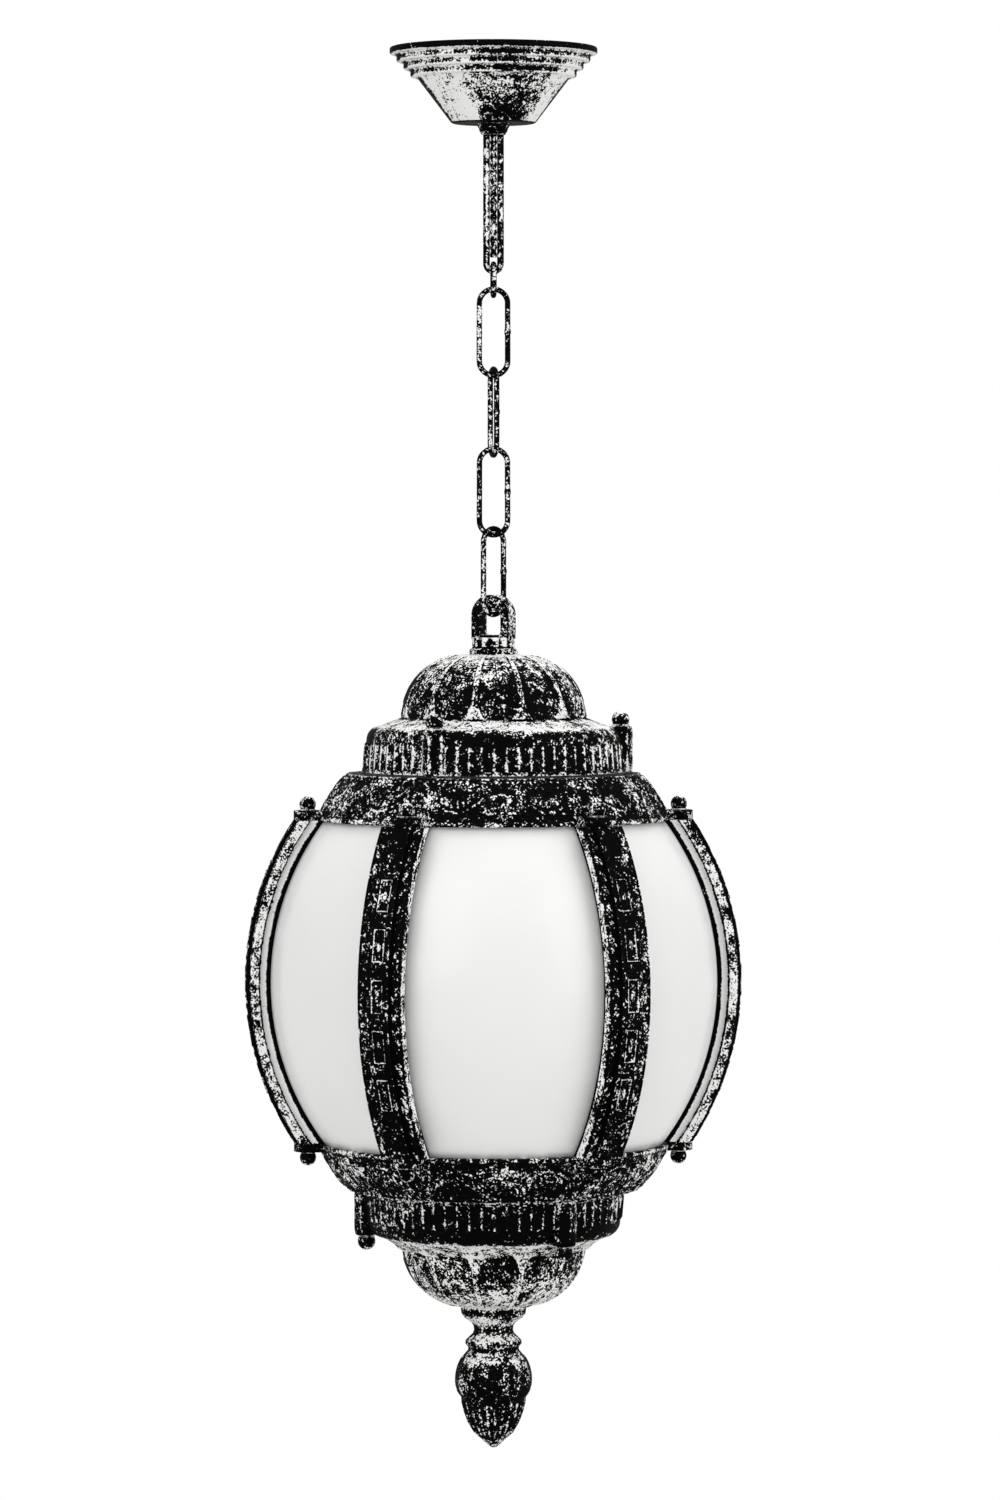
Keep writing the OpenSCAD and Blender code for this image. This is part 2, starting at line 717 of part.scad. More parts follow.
module ear() {
  inner = arc_at(groove_out, rim_h) - 2;
  translate([0, 0, rim_h]) linear_extrude(height = ear_t) {
    translate([ear_c, 0]) circle(ear_r);
    translate([inner, -ear_r]) square([ear_c - inner, 2 * ear_r]);
  }
}

module roof_skirt() {
  color(iron) at_waist() skirt(0);
}

module base_skirt() {
  color(iron) in_base() skirt(60);
}

// Ribs and panes
module along_arc(from, length) {
  translate([-arc_inset, 0, 0]) rotate([90, 0, 0]) rotate([0, 0, from / arc_r * 180 / PI])
    rotate_extrude(angle = length / arc_r * 180 / PI) children();
}

module rib_section() {
  difference() {
    union() {
      translate([rib_inner, -rib_web_w / 2]) square([rib_back + over - rib_inner, rib_web_w]);
      translate([rib_back, -rib_w / 2]) square([rib_flange_t, rib_w]);
      translate([rib_back, -rib_strip_w / 2]) square([rib_flange_t + rib_strip_t, rib_strip_w]);
    }
    for (side = [-1, 1])
      translate([groove_in, side * rib_web_w / 2 - rib_groove_d])
        square([groove_out - groove_in, 2 * rib_groove_d]);
  }
}

module rib() {
  reach = arc_r * asin(rim_h / rib_inner) * PI / 180 + 2;
  block = [rib_crest - over, rib_relief + over];
  pad_from = arc_r * asin(rim_h / arc_r) * PI / 180 - pad_len;
  difference() {
    intersection() {
      union() {
        along_arc(-reach, 2 * reach) rib_section();
        for (i = [-2:2]) along_arc(i * ornament_pitch - ornament_len / 2, ornament_len)
          translate([block[0], -ornament_w / 2]) square([block[1], ornament_w]);
        for (i = [-2.5:2.5]) translate([-arc_inset, 0, 0])
          rotate([0, -i * ornament_pitch / arc_r * 180 / PI, 0])
            translate([arc_r - bead_r, 0, 0]) sphere(bead_r);
        for (side = [0, 1]) mirror([0, 0, side]) along_arc(pad_from, pad_len + 4)
          translate([block[0], -rib_strip_w / 2]) square([block[1] - 0.4, rib_strip_w]);
      }
      translate([0, -rib_w, -rim_h]) cube([barrel_r + over, 2 * rib_w, 2 * rim_h]);
    }
    for (side = [0, 1]) mirror([0, 0, side]) translate([ear_c, 0, rim_h - rib_grip - 1])
      cylinder(r = thread_r, h = rib_grip + 1 + over);
  }
}

module pane() {
  apex = pane_edge / sin(180 / sides);
  far = 2 * barrel_r;
  intersection() {
    rotate([0, 0, -30]) rotate_extrude(angle = 60) intersection() {
      difference() {
        translate([-arc_inset, 0]) circle(pane_out);
        translate([-arc_inset, 0]) circle(pane_in);
      }
      translate([barrel_r / 3, -pane_top_h]) square([barrel_r, 2 * pane_top_h]);
    }
    translate([0, 0, -pane_top_h - over]) linear_extrude(height = 2 * (pane_top_h + over))
      polygon([[apex, 0], [apex + far * cos(30), -far * sin(30)], [apex + far * cos(30), far * sin(30)]]);
  }
}

module rib_screws() {
  for (i = [0:5]) rotate([0, 0, 60 * i]) translate([ear_c, 0, ear_top_h])
    ball_screw(rib_ball_r, rib_ball_rise, ear_t + rib_grip);
}

module pane_seal() {
  tube_z(arc_at(groove_out, pocket_h) - fit, arc_at(pane_in, pane_top_h), pane_top_h, pocket_h);
}

// Lampholder and bulb
module lampholder_cap() {
  neck_z = holder_top_z - holder_neck_h;
  foot_z = holder_top_z - holder_cap_h;
  color(brassy) rotate_extrude() polygon([[nipple_r + fit, holder_top_z], [holder_neck_r, holder_top_z],
    [holder_neck_r, neck_z + 1], [holder_r - 4, neck_z - 1], [holder_r, neck_z - 6], [holder_r, foot_z],
    [holder_r - holder_wall, foot_z], [holder_r - holder_wall, body_top_z],
    [nipple_r + 1, body_top_z], [nipple_r + 1, neck_z], [nipple_r + fit, neck_z]]);
}

module lampholder_body() {
  wire_hole_x = 9;
  wire_hole_r = 1.5;
  color(ceramic) difference() {
    translate([0, 0, body_end_z]) cylinder(r = holder_r - holder_wall, h = holder_body_h);
    translate([0, 0, body_end_z - over]) cylinder(r = shell_r, h = body_floor_z - body_end_z + over);
    for (side = [-1, 1]) translate([side * wire_hole_x, 0, body_floor_z - over])
      cylinder(r = wire_hole_r, h = body_top_z - body_floor_z + 2 * over);
  }
}

module screw_shell() {
  color(brassy) tube_z(shell_r, shell_r - shell_wall, body_end_z + 1, body_floor_z);
}

module centre_contact() {
  color(brassy) translate([0, 0, contact_z]) cylinder(r = contact_r, h = contact_h);
}

module bulb_cap() {
  tip_h = 3;
  tip_r = 5;
  wall = 1;
  roof_z = bulb_top_z - 2 * tip_h;
  color(steel) rotate_extrude() polygon([[0, bulb_top_z], [tip_r, bulb_top_z], [tip_r, bulb_top_z - wall],
    [bulb_cap_r - 2 * wall, bulb_top_z - tip_h], [bulb_cap_r, bulb_top_z - 1.5 * tip_h],
    [bulb_cap_r, bulb_neck_z], [bulb_cap_r - wall, bulb_neck_z], [bulb_cap_r - wall, roof_z], [0, roof_z]]);
}

module bulb_profile(inset) {
  neck = bulb_cap_r + 0.8 - inset;
  shoulder_z = bulb_ball_z + bulb_r * 0.75;
  translate([0, bulb_ball_z]) intersection() {
    circle(bulb_r - inset);
    translate([0, -bulb_r]) square([bulb_r, 2 * bulb_r]);
  }
  polygon([[0, shoulder_z - 20], [sqrt(bulb_r * bulb_r * 0.4375) - inset, shoulder_z],
    [neck, bulb_neck_z - 8], [neck, bulb_neck_z - inset], [0, bulb_neck_z - inset]]);
}

module bulb_glass() {
  color(opal) rotate_extrude() difference() {
    bulb_profile(0);
    bulb_profile(bulb_wall);
  }
}

// Cup and finial
module cup_screw(k) {
  color(steel) in_base() cast_screw(60 + 120 * (k - 1));
}

module finial_outline() {
  h = dome_top_h;
  acorn = h + neck_h;
  nut = acorn + acorn_cap_h;
  neck = [[1.14, 0], [1.155, 0.1], [1.13, 0.19], [1.03, 0.29], [0.78, 0.4], [0.69, 0.5], [0.69, 0.6],
    [0.87, 0.75], [0.98, 0.82], [1, 0.88], [0.98, 0.92], [0.89, 1]];
  cap = [[0.69, 0.07], [0.825, 0.2], [0.9, 0.3], [0.95, 0.4], [0.985, 0.53], [1, 0.67], [0.985, 0.8],
    [0.95, 0.91], [0.9, 0.98], [0.87, 1]];
  nut_edge = [[0.865, 0.04], [0.83, 0.13], [0.77, 0.3], [0.67, 0.5], [0.51, 0.69], [0.39, 0.79],
    [0.25, 0.88], [0.15, 0.95], [0.07, 0.99]];
  polygon(concat([[0, h]], [for (p = neck) [p[0] * neck_r, h + p[1] * neck_h]],
    [for (p = cap) [p[0] * acorn_r, acorn + p[1] * acorn_cap_h]],
    [for (p = nut_edge) [p[0] * acorn_r, nut + p[1] * acorn_nut_h]], [[0, nut + acorn_nut_h]]));
}

module finial() {
  color(iron) in_base() difference() {
    rotate_extrude() finial_outline();
    translate([0, 0, dome_top_h - over]) cylinder(r = finial_stud_r + fit, h = finial_stud_grip + 1 + over);
  }
}

module finial_stud() {
  low = seat_h - nut_h - 2;
  color(steel) in_base() translate([0, 0, low])
    cylinder(r = finial_stud_r, h = dome_top_h + finial_stud_grip - low);
}

module finial_nut() {
  color(steel) in_base() hex_nut(nut_r, finial_stud_r + fit, seat_h - nut_h, seat_h);
}

module cup() {
  color(iron) in_base() casting(crown_rise + cup_extra_rise, 60, finial_stud_r);
}

module cup_seal() {
  color(gasket) in_base() casting_seal();
}

ceiling_plate();
lock_nut();
terminal_block();
terminal_screws();
hanger_link();
canopy();
canopy_collar();
set_screw();
joining_link();
for (k = [0:chain_n - 1]) chain_link(k);
top_loop();
nipple();
nipple_washer();
nipple_nut();
crown();
crown_seal();
crown_screws();
roof_skirt();
base_skirt();
for (k = [0:5]) color(iron) at_waist() rotate([0, 0, 60 * k]) rib();
for (k = [0:5]) color(opal) at_waist() rotate([0, 0, 60 * k + 30]) pane();
color(steel) at_waist() rib_screws();  // upper_rib_screws
color(steel) in_base() rib_screws();  // lower_rib_screws
color(gasket) at_waist() pane_seal();  // upper_pane_seal
color(gasket) in_base() pane_seal();  // lower_pane_seal
lampholder_cap();
lampholder_body();
screw_shell();
centre_contact();
bulb_cap();
bulb_glass();
cup();
cup_seal();
for (k = [1:3]) cup_screw(k);
finial();
finial_stud();
finial_nut();
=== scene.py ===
# %% [markdown]
# # An outdoor lantern on a chain
#
# A cast lantern hangs from a ceiling: a stepped canopy, a chain, a domed
# crown on a reeded drum, a barrel of six opal panes between curved ribs, and
# a bowl with an acorn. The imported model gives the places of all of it. This
# lesson models the outer parts again, with their ornament, and gives every
# part its finish.
#
# Lengths are in millimetres, and MM turns them into metres. Only camera,
# lamps and floor are placed in metres.

# %% The frame
import math

import bmesh
import bpy
import numpy as np
from mathutils import Matrix, Vector, noise


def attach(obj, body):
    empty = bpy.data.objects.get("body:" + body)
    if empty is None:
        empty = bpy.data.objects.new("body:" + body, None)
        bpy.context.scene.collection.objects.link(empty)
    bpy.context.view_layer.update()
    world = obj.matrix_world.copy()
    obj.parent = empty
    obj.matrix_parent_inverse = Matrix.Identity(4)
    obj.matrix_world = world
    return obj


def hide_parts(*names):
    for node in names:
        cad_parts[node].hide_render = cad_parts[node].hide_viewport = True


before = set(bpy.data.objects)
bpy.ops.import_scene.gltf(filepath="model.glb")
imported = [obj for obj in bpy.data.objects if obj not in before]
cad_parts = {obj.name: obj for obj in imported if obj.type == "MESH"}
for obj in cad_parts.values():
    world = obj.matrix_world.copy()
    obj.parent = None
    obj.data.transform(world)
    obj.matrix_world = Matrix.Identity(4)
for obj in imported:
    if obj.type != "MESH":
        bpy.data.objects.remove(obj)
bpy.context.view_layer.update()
MM = 0.001

# %% [markdown]
# ## Camera
#
# The photograph looks from about three metres, a little from the left and
# slightly downwards. A long lens keeps edges as upright as they are there.
# The camera aims just beside the axis, since the lantern hangs a little left
# of the picture's middle.

# %% Camera
CAMERA_AWAY = 3.0
CAMERA_TURN = math.radians(-3)
CAMERA_Z = -0.2455
CAMERA_DIP = math.radians(2)
CAMERA_LENS = 144
CAMERA_SENSOR = 36
AIM_BESIDE = 0.00325

bpy.ops.object.select_all(action="DESELECT")
bpy.ops.object.camera_add(location=(
    CAMERA_AWAY * math.sin(CAMERA_TURN), -CAMERA_AWAY * math.cos(CAMERA_TURN), CAMERA_Z))
camera = bpy.context.object
camera.data.lens = CAMERA_LENS
camera.data.sensor_width = CAMERA_SENSOR
target = Vector((AIM_BESIDE * math.cos(CAMERA_TURN), AIM_BESIDE * math.sin(CAMERA_TURN),
                 CAMERA_Z - CAMERA_AWAY * math.tan(CAMERA_DIP)))
camera.rotation_euler = (target - camera.location).to_track_quat("-Z", "Y").to_euler()
bpy.context.scene.camera = camera
bpy.context.scene.view_settings.view_transform = "Standard"
print("camera at", [round(c, 3) for c in camera.location])

# %% [markdown]
# ## Lamps and world
#
# A studio photograph of a dark casting needs large soft lamps, because small
# ones leave hard spots on every curve. Two wide lamps stand left and right in
# front and one hangs above. The world is made here and wired further down.

# %% Lamps and world
LAMP_AIM = Vector((0, 0, -0.4))


def soft_lamp(name, place, power, size):
    """A square lamp, turned to the middle of the object."""
    bpy.ops.object.light_add(type="AREA", location=place)
    lamp = bpy.context.object
    lamp.name = name
    lamp.data.energy = power
    lamp.data.size = size
    lamp.rotation_euler = (LAMP_AIM - lamp.location).to_track_quat("-Z", "Y").to_euler()


soft_lamp("lamp_left", (-1.6, -1.9, 0.7), 27, 2.2)
soft_lamp("lamp_right", (1.9, -1.5, 0.3), 23, 2.2)
soft_lamp("lamp_above", (0.2, 0.3, 1.6), 20, 1.6)

world = bpy.data.worlds.new("studio")
bpy.context.scene.world = world
world.use_nodes = True
world.node_tree.nodes.clear()

# %% [markdown]
# ## A small language for finishes
#
# A material is a tree of nodes, and wiring it by hand hides the sums in it. A
# Value is one output socket, and the operators on it add the Math nodes, so a
# mask reads as the sum that it is. A Finish is one material's tree, with one
# method that makes any node: its settings first, then its sockets.

# %% Values and finishes
class Value:
    """A number that varies over a surface, kept as the socket that gives it."""

    def __init__(self, tree, socket):
        self.tree, self.socket = tree, socket

    def math(self, operation, *terms):
        node = self.tree.nodes.new("ShaderNodeMath")
        node.operation = operation
        for entry, term in zip(node.inputs, terms):
            if isinstance(term, Value):
                self.tree.links.new(term.socket, entry)
            else:
                entry.default_value = term
        return Value(self.tree, node.outputs[0])

    def __add__(self, other):
        return self.math("ADD", self, other)

    __radd__ = __add__

    def __sub__(self, other):
        return self.math("SUBTRACT", self, other)

    def __rsub__(self, other):
        return self.math("SUBTRACT", other, self)

    def __mul__(self, other):
        return self.math("MULTIPLY", self, other)

    __rmul__ = __mul__


class Finish:
    """One node tree and the one method that adds nodes to it."""

    def __init__(self, tree):
        self.tree = tree

    def node(self, kind, settings=None, sockets=None, out=0):
        node = self.tree.nodes.new(kind)
        for name, value in (settings or {}).items():
            setattr(node, name, value)
        for name, value in (sockets or {}).items():
            if isinstance(value, Value):
                self.tree.links.new(value.socket, node.inputs[name])
            else:
                node.inputs[name].default_value = value
        return Value(self.tree, node.outputs[out]) if node.outputs else None

    def place(self):
        """A point's place on its own piece, so that a grain moves with it."""
        return self.node("ShaderNodeTexCoord", out="Object")

    def grain(self, size, detail=2.0, rough=0.5):
        """Noise whose spots are about size millimetres across, from 0 to 1."""
        return self.node("ShaderNodeTexNoise", None, {
            "Vector": self.place(), "Scale": 1 / (size * MM), "Detail": detail, "Roughness": rough})

    def step(self, value, low, high):
        """0 below low and 1 above high, with a soft edge between."""
        return self.node("ShaderNodeMapRange", {"interpolation_type": "SMOOTHSTEP"},
                         {"Value": value, "From Min": low, "From Max": high})

    def tint(self, mask, dark, light):
        """A colour from dark, where mask is 0, to light, where it is 1."""
        return self.node("ShaderNodeMix", {"data_type": "RGBA"},
                         {0: mask, 6: (*dark, 1), 7: (*light, 1)}, out=2)

    def bump(self, height, strength, depth):
        """The normal that a height gives, with its depth in millimetres."""
        return self.node("ShaderNodeBump", None, {
            "Height": height, "Strength": strength, "Distance": depth * MM})


def new_finish(name):
    """An empty material and the Finish that fills it."""
    material = bpy.data.materials.new(name)
    material.use_nodes = True
    material.node_tree.nodes.clear()
    return material, Finish(material.node_tree)


def surface(finish, **sockets):
    """The Principled shader with these sockets, wired to the material's output."""
    named = {socket.replace("_", " "): value for socket, value in sockets.items()}
    shader = finish.node("ShaderNodeBsdfPrincipled", None, named)
    finish.node("ShaderNodeOutputMaterial", None, {"Surface": shader})


print("finish helpers ready")

# %% [markdown]
# ## The white studio
#
# Light Path tells a shader which kind of ray asks. Camera, glossy and
# transmission rays get plain white, so the background is blank, and every
# other ray gets the grey that lights the room. The floor is a pale, matt disc
# well below the lantern.

# %% World and floor
ROOM_LIGHT = 0.49
FLOOR_R = 1.6
FLOOR_Z = -1.25

room = Finish(world.node_tree)
seen = room.node("ShaderNodeLightPath", out="Is Camera Ray")
mirrored = room.node("ShaderNodeLightPath", out="Is Glossy Ray")
through = room.node("ShaderNodeLightPath", out="Is Transmission Ray")
blank = room.step(seen + mirrored + through, 0, 1)
light = room.node("ShaderNodeBackground", None, {"Color": (1, 1, 1, 1), "Strength": ROOM_LIGHT})
white = room.node("ShaderNodeBackground", None, {"Color": (1, 1, 1, 1), "Strength": 1.0})
sky = room.node("ShaderNodeMixShader", None, {0: blank, 1: light, 2: white})
room.node("ShaderNodeOutputWorld", None, {"Surface": sky})

bpy.ops.object.select_all(action="DESELECT")
bpy.ops.mesh.primitive_circle_add(vertices=96, radius=FLOOR_R, fill_type="NGON", location=(0, 0, FLOOR_Z))
floor = bpy.context.object
floor.name = "floor"
material, pale = new_finish("pale_floor")
surface(pale, Base_Color=pale.tint(pale.grain(40, 3), (0.80, 0.80, 0.79), (0.86, 0.86, 0.85)), Roughness=0.9)
floor.data.materials.append(material)
print("floor", 2 * FLOOR_R, "m across at", FLOOR_Z)

# %% [markdown]
# ## The black casting finish
#
# The lantern is cast aluminium, painted near black, with silver rubbed over
# what stands high. Each piece stores in an attribute how proud its points
# stand, which is that wear, together with painted highlights and painted shade
# by place and facing. The finish adds grains of 1, 3.6 and 16 mm to it, because
# a nearly dry brush skips in specks and patches, and a sharp step on the sum
# gives them hard edges. Specks, pores and silver drive the bump too.

# %% Black casting
PAINT = (0.002, 0.002, 0.0022)
SILVER_RUB_AND_HIGHLIGHT = (0.95, 0.95, 0.94)
SPECK_EDGE = 0.025
HAZE_EDGES = (-0.1, 0.02)
HAZE = 0.014


def black_casting(name, spread, shine):
    """Near-black paint with silver, rubbed and painted as highlight, where the sum passes spread, and a
    faint haze round it.
    """
    material, f = new_finish(name)
    wear_and_painted_light = f.node("ShaderNodeAttribute", {"attribute_name": "wear_and_painted_light"}, out="Fac")
    speck = f.grain(1.0, 1)
    patch = f.grain(3.6, 4, 0.62)
    broad = f.grain(16, 1)
    pores = f.grain(0.45, 2)
    # The sum holds wear, random grain, painted highlights and painted shade.
    drive = 0.75 * speck + 0.85 * patch + 0.35 * broad + 0.42 * wear_and_painted_light - 0.475
    # The silver mask: rubbed silver and painted highlight together.
    silver_wear_and_highlight = f.step(drive, spread, spread + SPECK_EDGE)
    haze = f.step(drive, spread + HAZE_EDGES[0], spread + HAZE_EDGES[1]) * HAZE
    colour = f.tint(silver_wear_and_highlight * 0.97 + haze * (1 - silver_wear_and_highlight), PAINT, SILVER_RUB_AND_HIGHLIGHT)
    surface(f, Base_Color=colour, Metallic=0.8 - 0.7 * silver_wear_and_highlight,
            Roughness=shine + 0.22 * pores - 0.06 * silver_wear_and_highlight,
            Specular_IOR_Level=0.2, Specular_Tint=(0.15, 0.15, 0.15, 1),
            Normal=f.bump(0.55 * speck + 0.3 * pores + 0.4 * silver_wear_and_highlight, 0.5, 0.35))
    return material


CASTING = (black_casting("black_casting", 0.665, 0.40), "iron_castings")
LINKS = (black_casting("black_links", 0.61, 0.38), "iron_links")
SCREWS = (black_casting("black_screws", 0.64, 0.34), "iron_screws")
print("castings:", [material.name for material, slot in (CASTING, LINKS, SCREWS)])

# %% [markdown]
# ## Glass
#
# The panes are opal: milk-white glass that spreads the light and still has a
# polished face. A white base, a little light scattered below it and a thin
# clear coat give that. The white stays below full, or the panes would burn
# out. The bulb, hidden until the bowl comes down, is plain clear glass.

# %% Opal and clear glass
opal, f = new_finish("opal_glass")
cloud = f.grain(38, 3)
seed = f.step(f.grain(1.6, 1), 0.74, 0.78)
surface(f, Base_Color=f.tint(cloud, (0.88, 0.88, 0.87), (0.93, 0.93, 0.92)), Roughness=0.30 + 0.1 * cloud,
        Normal=f.bump(cloud + 0.05 * seed, 0.12, 0.5), Coat_Weight=0.12, Coat_Roughness=0.12,
        Subsurface_Weight=0.3, Subsurface_Scale=0.005, Subsurface_Radius=(1, 1, 1))

bulb_glass, f = new_finish("bulb_glass")
smoke = f.grain(12, 2)
surface(f, Base_Color=f.tint(smoke, (0.95, 0.95, 0.94), (1, 1, 1)), Roughness=0.03 + 0.05 * smoke,
        Transmission_Weight=0.9, IOR=1.45, Normal=f.bump(smoke, 0.05, 0.2))
print("glass:", opal.name, bulb_glass.name)

# %% [markdown]
# ## Metals, porcelain and rubber inside
#
# Inside are ordinary fittings: zinc-plated steel, turned brass, glazed
# porcelain and moulded rubber. Each gets its own small faults: dull patches
# on the steel, tarnish on the brass, clouds in the glaze and a bloom on the
# rubber.

# %% Inner finishes
def fitting(name, dark, light, metal, low, high, size, bump_depth):
    """Two tones in patches, roughness from low to high, fine grain and a little bump."""
    material, f = new_finish(name)
    patch = f.grain(size, 3, 0.6)
    fine = f.grain(0.6, 2)
    surface(f, Base_Color=f.tint(f.step(patch + 0.2 * fine, 0.4, 0.8), dark, light), Metallic=metal,
            Roughness=low + (high - low) * patch, Normal=f.bump(fine, 0.3, bump_depth))
    return material


zinc = fitting("zinc_steel", (0.20, 0.205, 0.21), (0.40, 0.405, 0.41), 1.0, 0.34, 0.6, 5, 0.03)
brass = fitting("turned_brass", (0.42, 0.28, 0.10), (0.78, 0.60, 0.26), 1.0, 0.2, 0.42, 4, 0.03)
porcelain = fitting("glazed_porcelain", (0.74, 0.73, 0.69), (0.88, 0.87, 0.84), 0.0, 0.1, 0.22, 9, 0.04)
rubber = fitting("seal_rubber", (0.016, 0.016, 0.016), (0.05, 0.05, 0.048), 0.0, 0.62, 0.85, 6, 0.1)


def dress(material, *nodes):
    """Give CAD nodes that stay in view this material."""
    for node in nodes:
        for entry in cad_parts[node].material_slots:
            entry.material = material


dress(zinc, "ceiling_plate", "lock_nut", "terminal_screws", "set_screw", "nipple_washer", "nipple_nut",
      "finial_stud", "finial_nut", "bulb_cap")
dress(brass, "nipple", "lampholder_cap", "screw_shell", "centre_contact")
dress(porcelain, "terminal_block", "lampholder_body")
dress(rubber, "crown_seal", "cup_seal", "upper_pane_seal", "lower_pane_seal")
dress(bulb_glass, "bulb_glass")
dress(opal, *["pane_%d" % k for k in range(1, 7)])
print("inner finishes:", zinc.name, brass.name, porcelain.name, rubber.name)

# %% [markdown]
# ## Tools for the bench
#
# Three habits keep operators safe: deselect everything before a new piece,
# choose points by where they are, and end with every piece at the origin. A
# turned part starts as one point, extruded along the profile and spun round
# the axis.

# %% Bench tools
HAIR = 0.01
ON_CUT = 0.001


def fresh():
    """Object mode with nothing selected, so the next operator acts on its own piece."""
    if bpy.context.object and bpy.context.object.mode != "OBJECT":
        bpy.ops.object.mode_set(mode="OBJECT")
    bpy.ops.object.select_all(action="DESELECT")


def take(obj):
    """Object mode with this one piece selected and active."""
    fresh()
    obj.select_set(True)
    bpy.context.view_layer.objects.active = obj


def edit(obj):
    """Edit mode on one object."""
    take(obj)
    bpy.ops.object.mode_set(mode="EDIT")


def everything():
    """In edit mode, select the whole mesh."""
    bpy.ops.mesh.select_all(action="SELECT")


def pick(obj, rule, kind="VERT"):
    """In edit mode, select the points or faces for which rule(place in mm, normal) holds."""
    bpy.ops.mesh.select_mode(type=kind)
    bpy.ops.mesh.select_all(action="DESELECT")
    shape = bmesh.from_edit_mesh(obj.data)
    for part in shape.verts if kind == "VERT" else shape.faces:
        place = part.co if kind == "VERT" else part.calc_center_median()
        part.select_set(bool(rule(place / MM, part.normal)))
    shape.select_flush_mode()
    bmesh.update_edit_mesh(obj.data)


def cut_level(height, side):
    """In edit mode, cut off and close all that lies above a height (side 1) or below it (side -1)."""
    everything()
    bpy.ops.mesh.bisect(plane_co=(0, 0, height * MM), plane_no=(0, 0, side), use_fill=True,
                        clear_outer=True, threshold=ON_CUT * MM)


def settle(obj, name):
    """Put the object at the origin, its place in its mesh, and name it."""
    take(obj)
    bpy.ops.object.transform_apply(location=True, rotation=True, scale=True)
    obj.name = obj.data.name = name
    return obj


def box(name, middle, size):
    """A box, its middle and size in mm."""
    fresh()
    bpy.ops.mesh.primitive_cube_add(size=1, location=[c * MM for c in middle], scale=[c * MM for c in size])
    return settle(bpy.context.object, name)


def clean(obj):
    """Merge doubles and turn all faces outwards."""
    edit(obj)
    everything()
    bpy.ops.mesh.remove_doubles(threshold=HAIR * MM)
    bpy.ops.mesh.normals_make_consistent(inside=False)
    fresh()
    return obj


def drawn(name, points):
    """Draw a line through points in mm, extruding one point to the next."""
    fresh()
    bpy.ops.mesh.primitive_plane_add(size=MM)
    obj = bpy.context.object
    obj.name = obj.data.name = name
    bpy.ops.object.mode_set(mode="EDIT")
    bpy.ops.mesh.select_mode(type="VERT")
    everything()
    bpy.ops.mesh.merge(type="CENTER")
    here = Vector((0, 0, 0))
    for count, point in enumerate(points):
        if count:
            bpy.ops.mesh.extrude_region()
        bpy.ops.transform.translate(value=(Vector(point) - here) * MM)
        here = Vector(point)
    return obj


def turned(name, profile, around):
    """Spin a profile of (radius, height) in mm round the axis."""
    obj = drawn(name, [(r, 0, z) for r, z in profile])
    everything()
    bpy.ops.mesh.spin(steps=around, angle=2 * math.pi, center=(0, 0, 0), axis=(0, 0, 1))
    return clean(obj)


def bow(centre, radius, start, end, count):
    """Points (radius, height) on an arc, from start to end in degrees."""
    angles = [math.radians(start + (end - start) * i / count) for i in range(count + 1)]
    return [(centre[0] + radius * math.cos(a), centre[1] + radius * math.sin(a)) for a in angles]


def run(start, end, count):
    """Points on a straight line, without its first."""
    return [tuple(a + (b - a) * i / count for a, b in zip(start, end)) for i in range(1, count + 1)]


print("bench tools ready")

# %% [markdown]
# ## Relief, edges and joining
#
# Cast ornament is low relief, and on a casting's one skin it is easier to
# paint than to model: a rule gives each point a weight from 0 to 1, and a
# Displace modifier raises the skin along its normals by that weight. The
# weight is kept, because a rag rubs silver on what stands out.

# %% Relief and edge tools
LEAST_WEIGHT = 0.004


def apply_modifier(obj, kind, **settings):
    """Add one modifier with these settings and apply it."""
    take(obj)
    modifier = obj.modifiers.new(kind.lower(), kind)
    for name, value in settings.items():
        setattr(modifier, name, value)
    bpy.ops.object.modifier_apply(modifier=modifier.name)


def relief(obj, depth, rule):
    """Raise the skin by depth mm times rule(x, y, z), and remember the weight."""
    weights = [min(1.0, max(0.0, rule(*(point.co / MM)))) for point in obj.data.vertices]
    group = obj.vertex_groups.new(name="relief")
    for index, weight in enumerate(weights):
        if weight > LEAST_WEIGHT:
            group.add([index], weight, "REPLACE")
    marks = obj.data.attributes.get("carved") or obj.data.attributes.new("carved", "FLOAT", "POINT")
    marks.data.foreach_set("value", weights)
    apply_modifier(obj, "DISPLACE", strength=depth * MM, mid_level=0, vertex_group="relief",
                   direction="NORMAL")
    obj.vertex_groups.clear()


def soften(obj, width, segments=2, angle=35):
    """Round the edges that are sharper than angle."""
    apply_modifier(obj, "BEVEL", width=width * MM, segments=segments, limit_method="ANGLE",
                   angle_limit=math.radians(angle), use_clamp_overlap=True)


def join(main, *others):
    """Put the others' meshes into the main piece."""
    take(main)
    for other in others:
        other.select_set(True)
    bpy.ops.object.join()
    return main


def copy_of(obj, name, move=Matrix.Identity(4)):
    """A copy with its own mesh, moved in its mesh."""
    twin = bpy.data.objects.new(name, obj.data.copy())
    twin.data.name = name
    twin.data.transform(move)
    bpy.context.scene.collection.objects.link(twin)
    return twin


def drop(*models):
    """Remove models whose copies are in place."""
    for model in models:
        bpy.data.objects.remove(model)


def turn(degrees):
    """A turn about the lantern's axis."""
    return Matrix.Rotation(math.radians(degrees), 4, "Z")


def swell(value):
    """A smooth hump: 1 in the middle of -1 to 1 and 0 outside it."""
    return max(0.0, 1 - value * value) ** 0.5


print("relief tools ready")

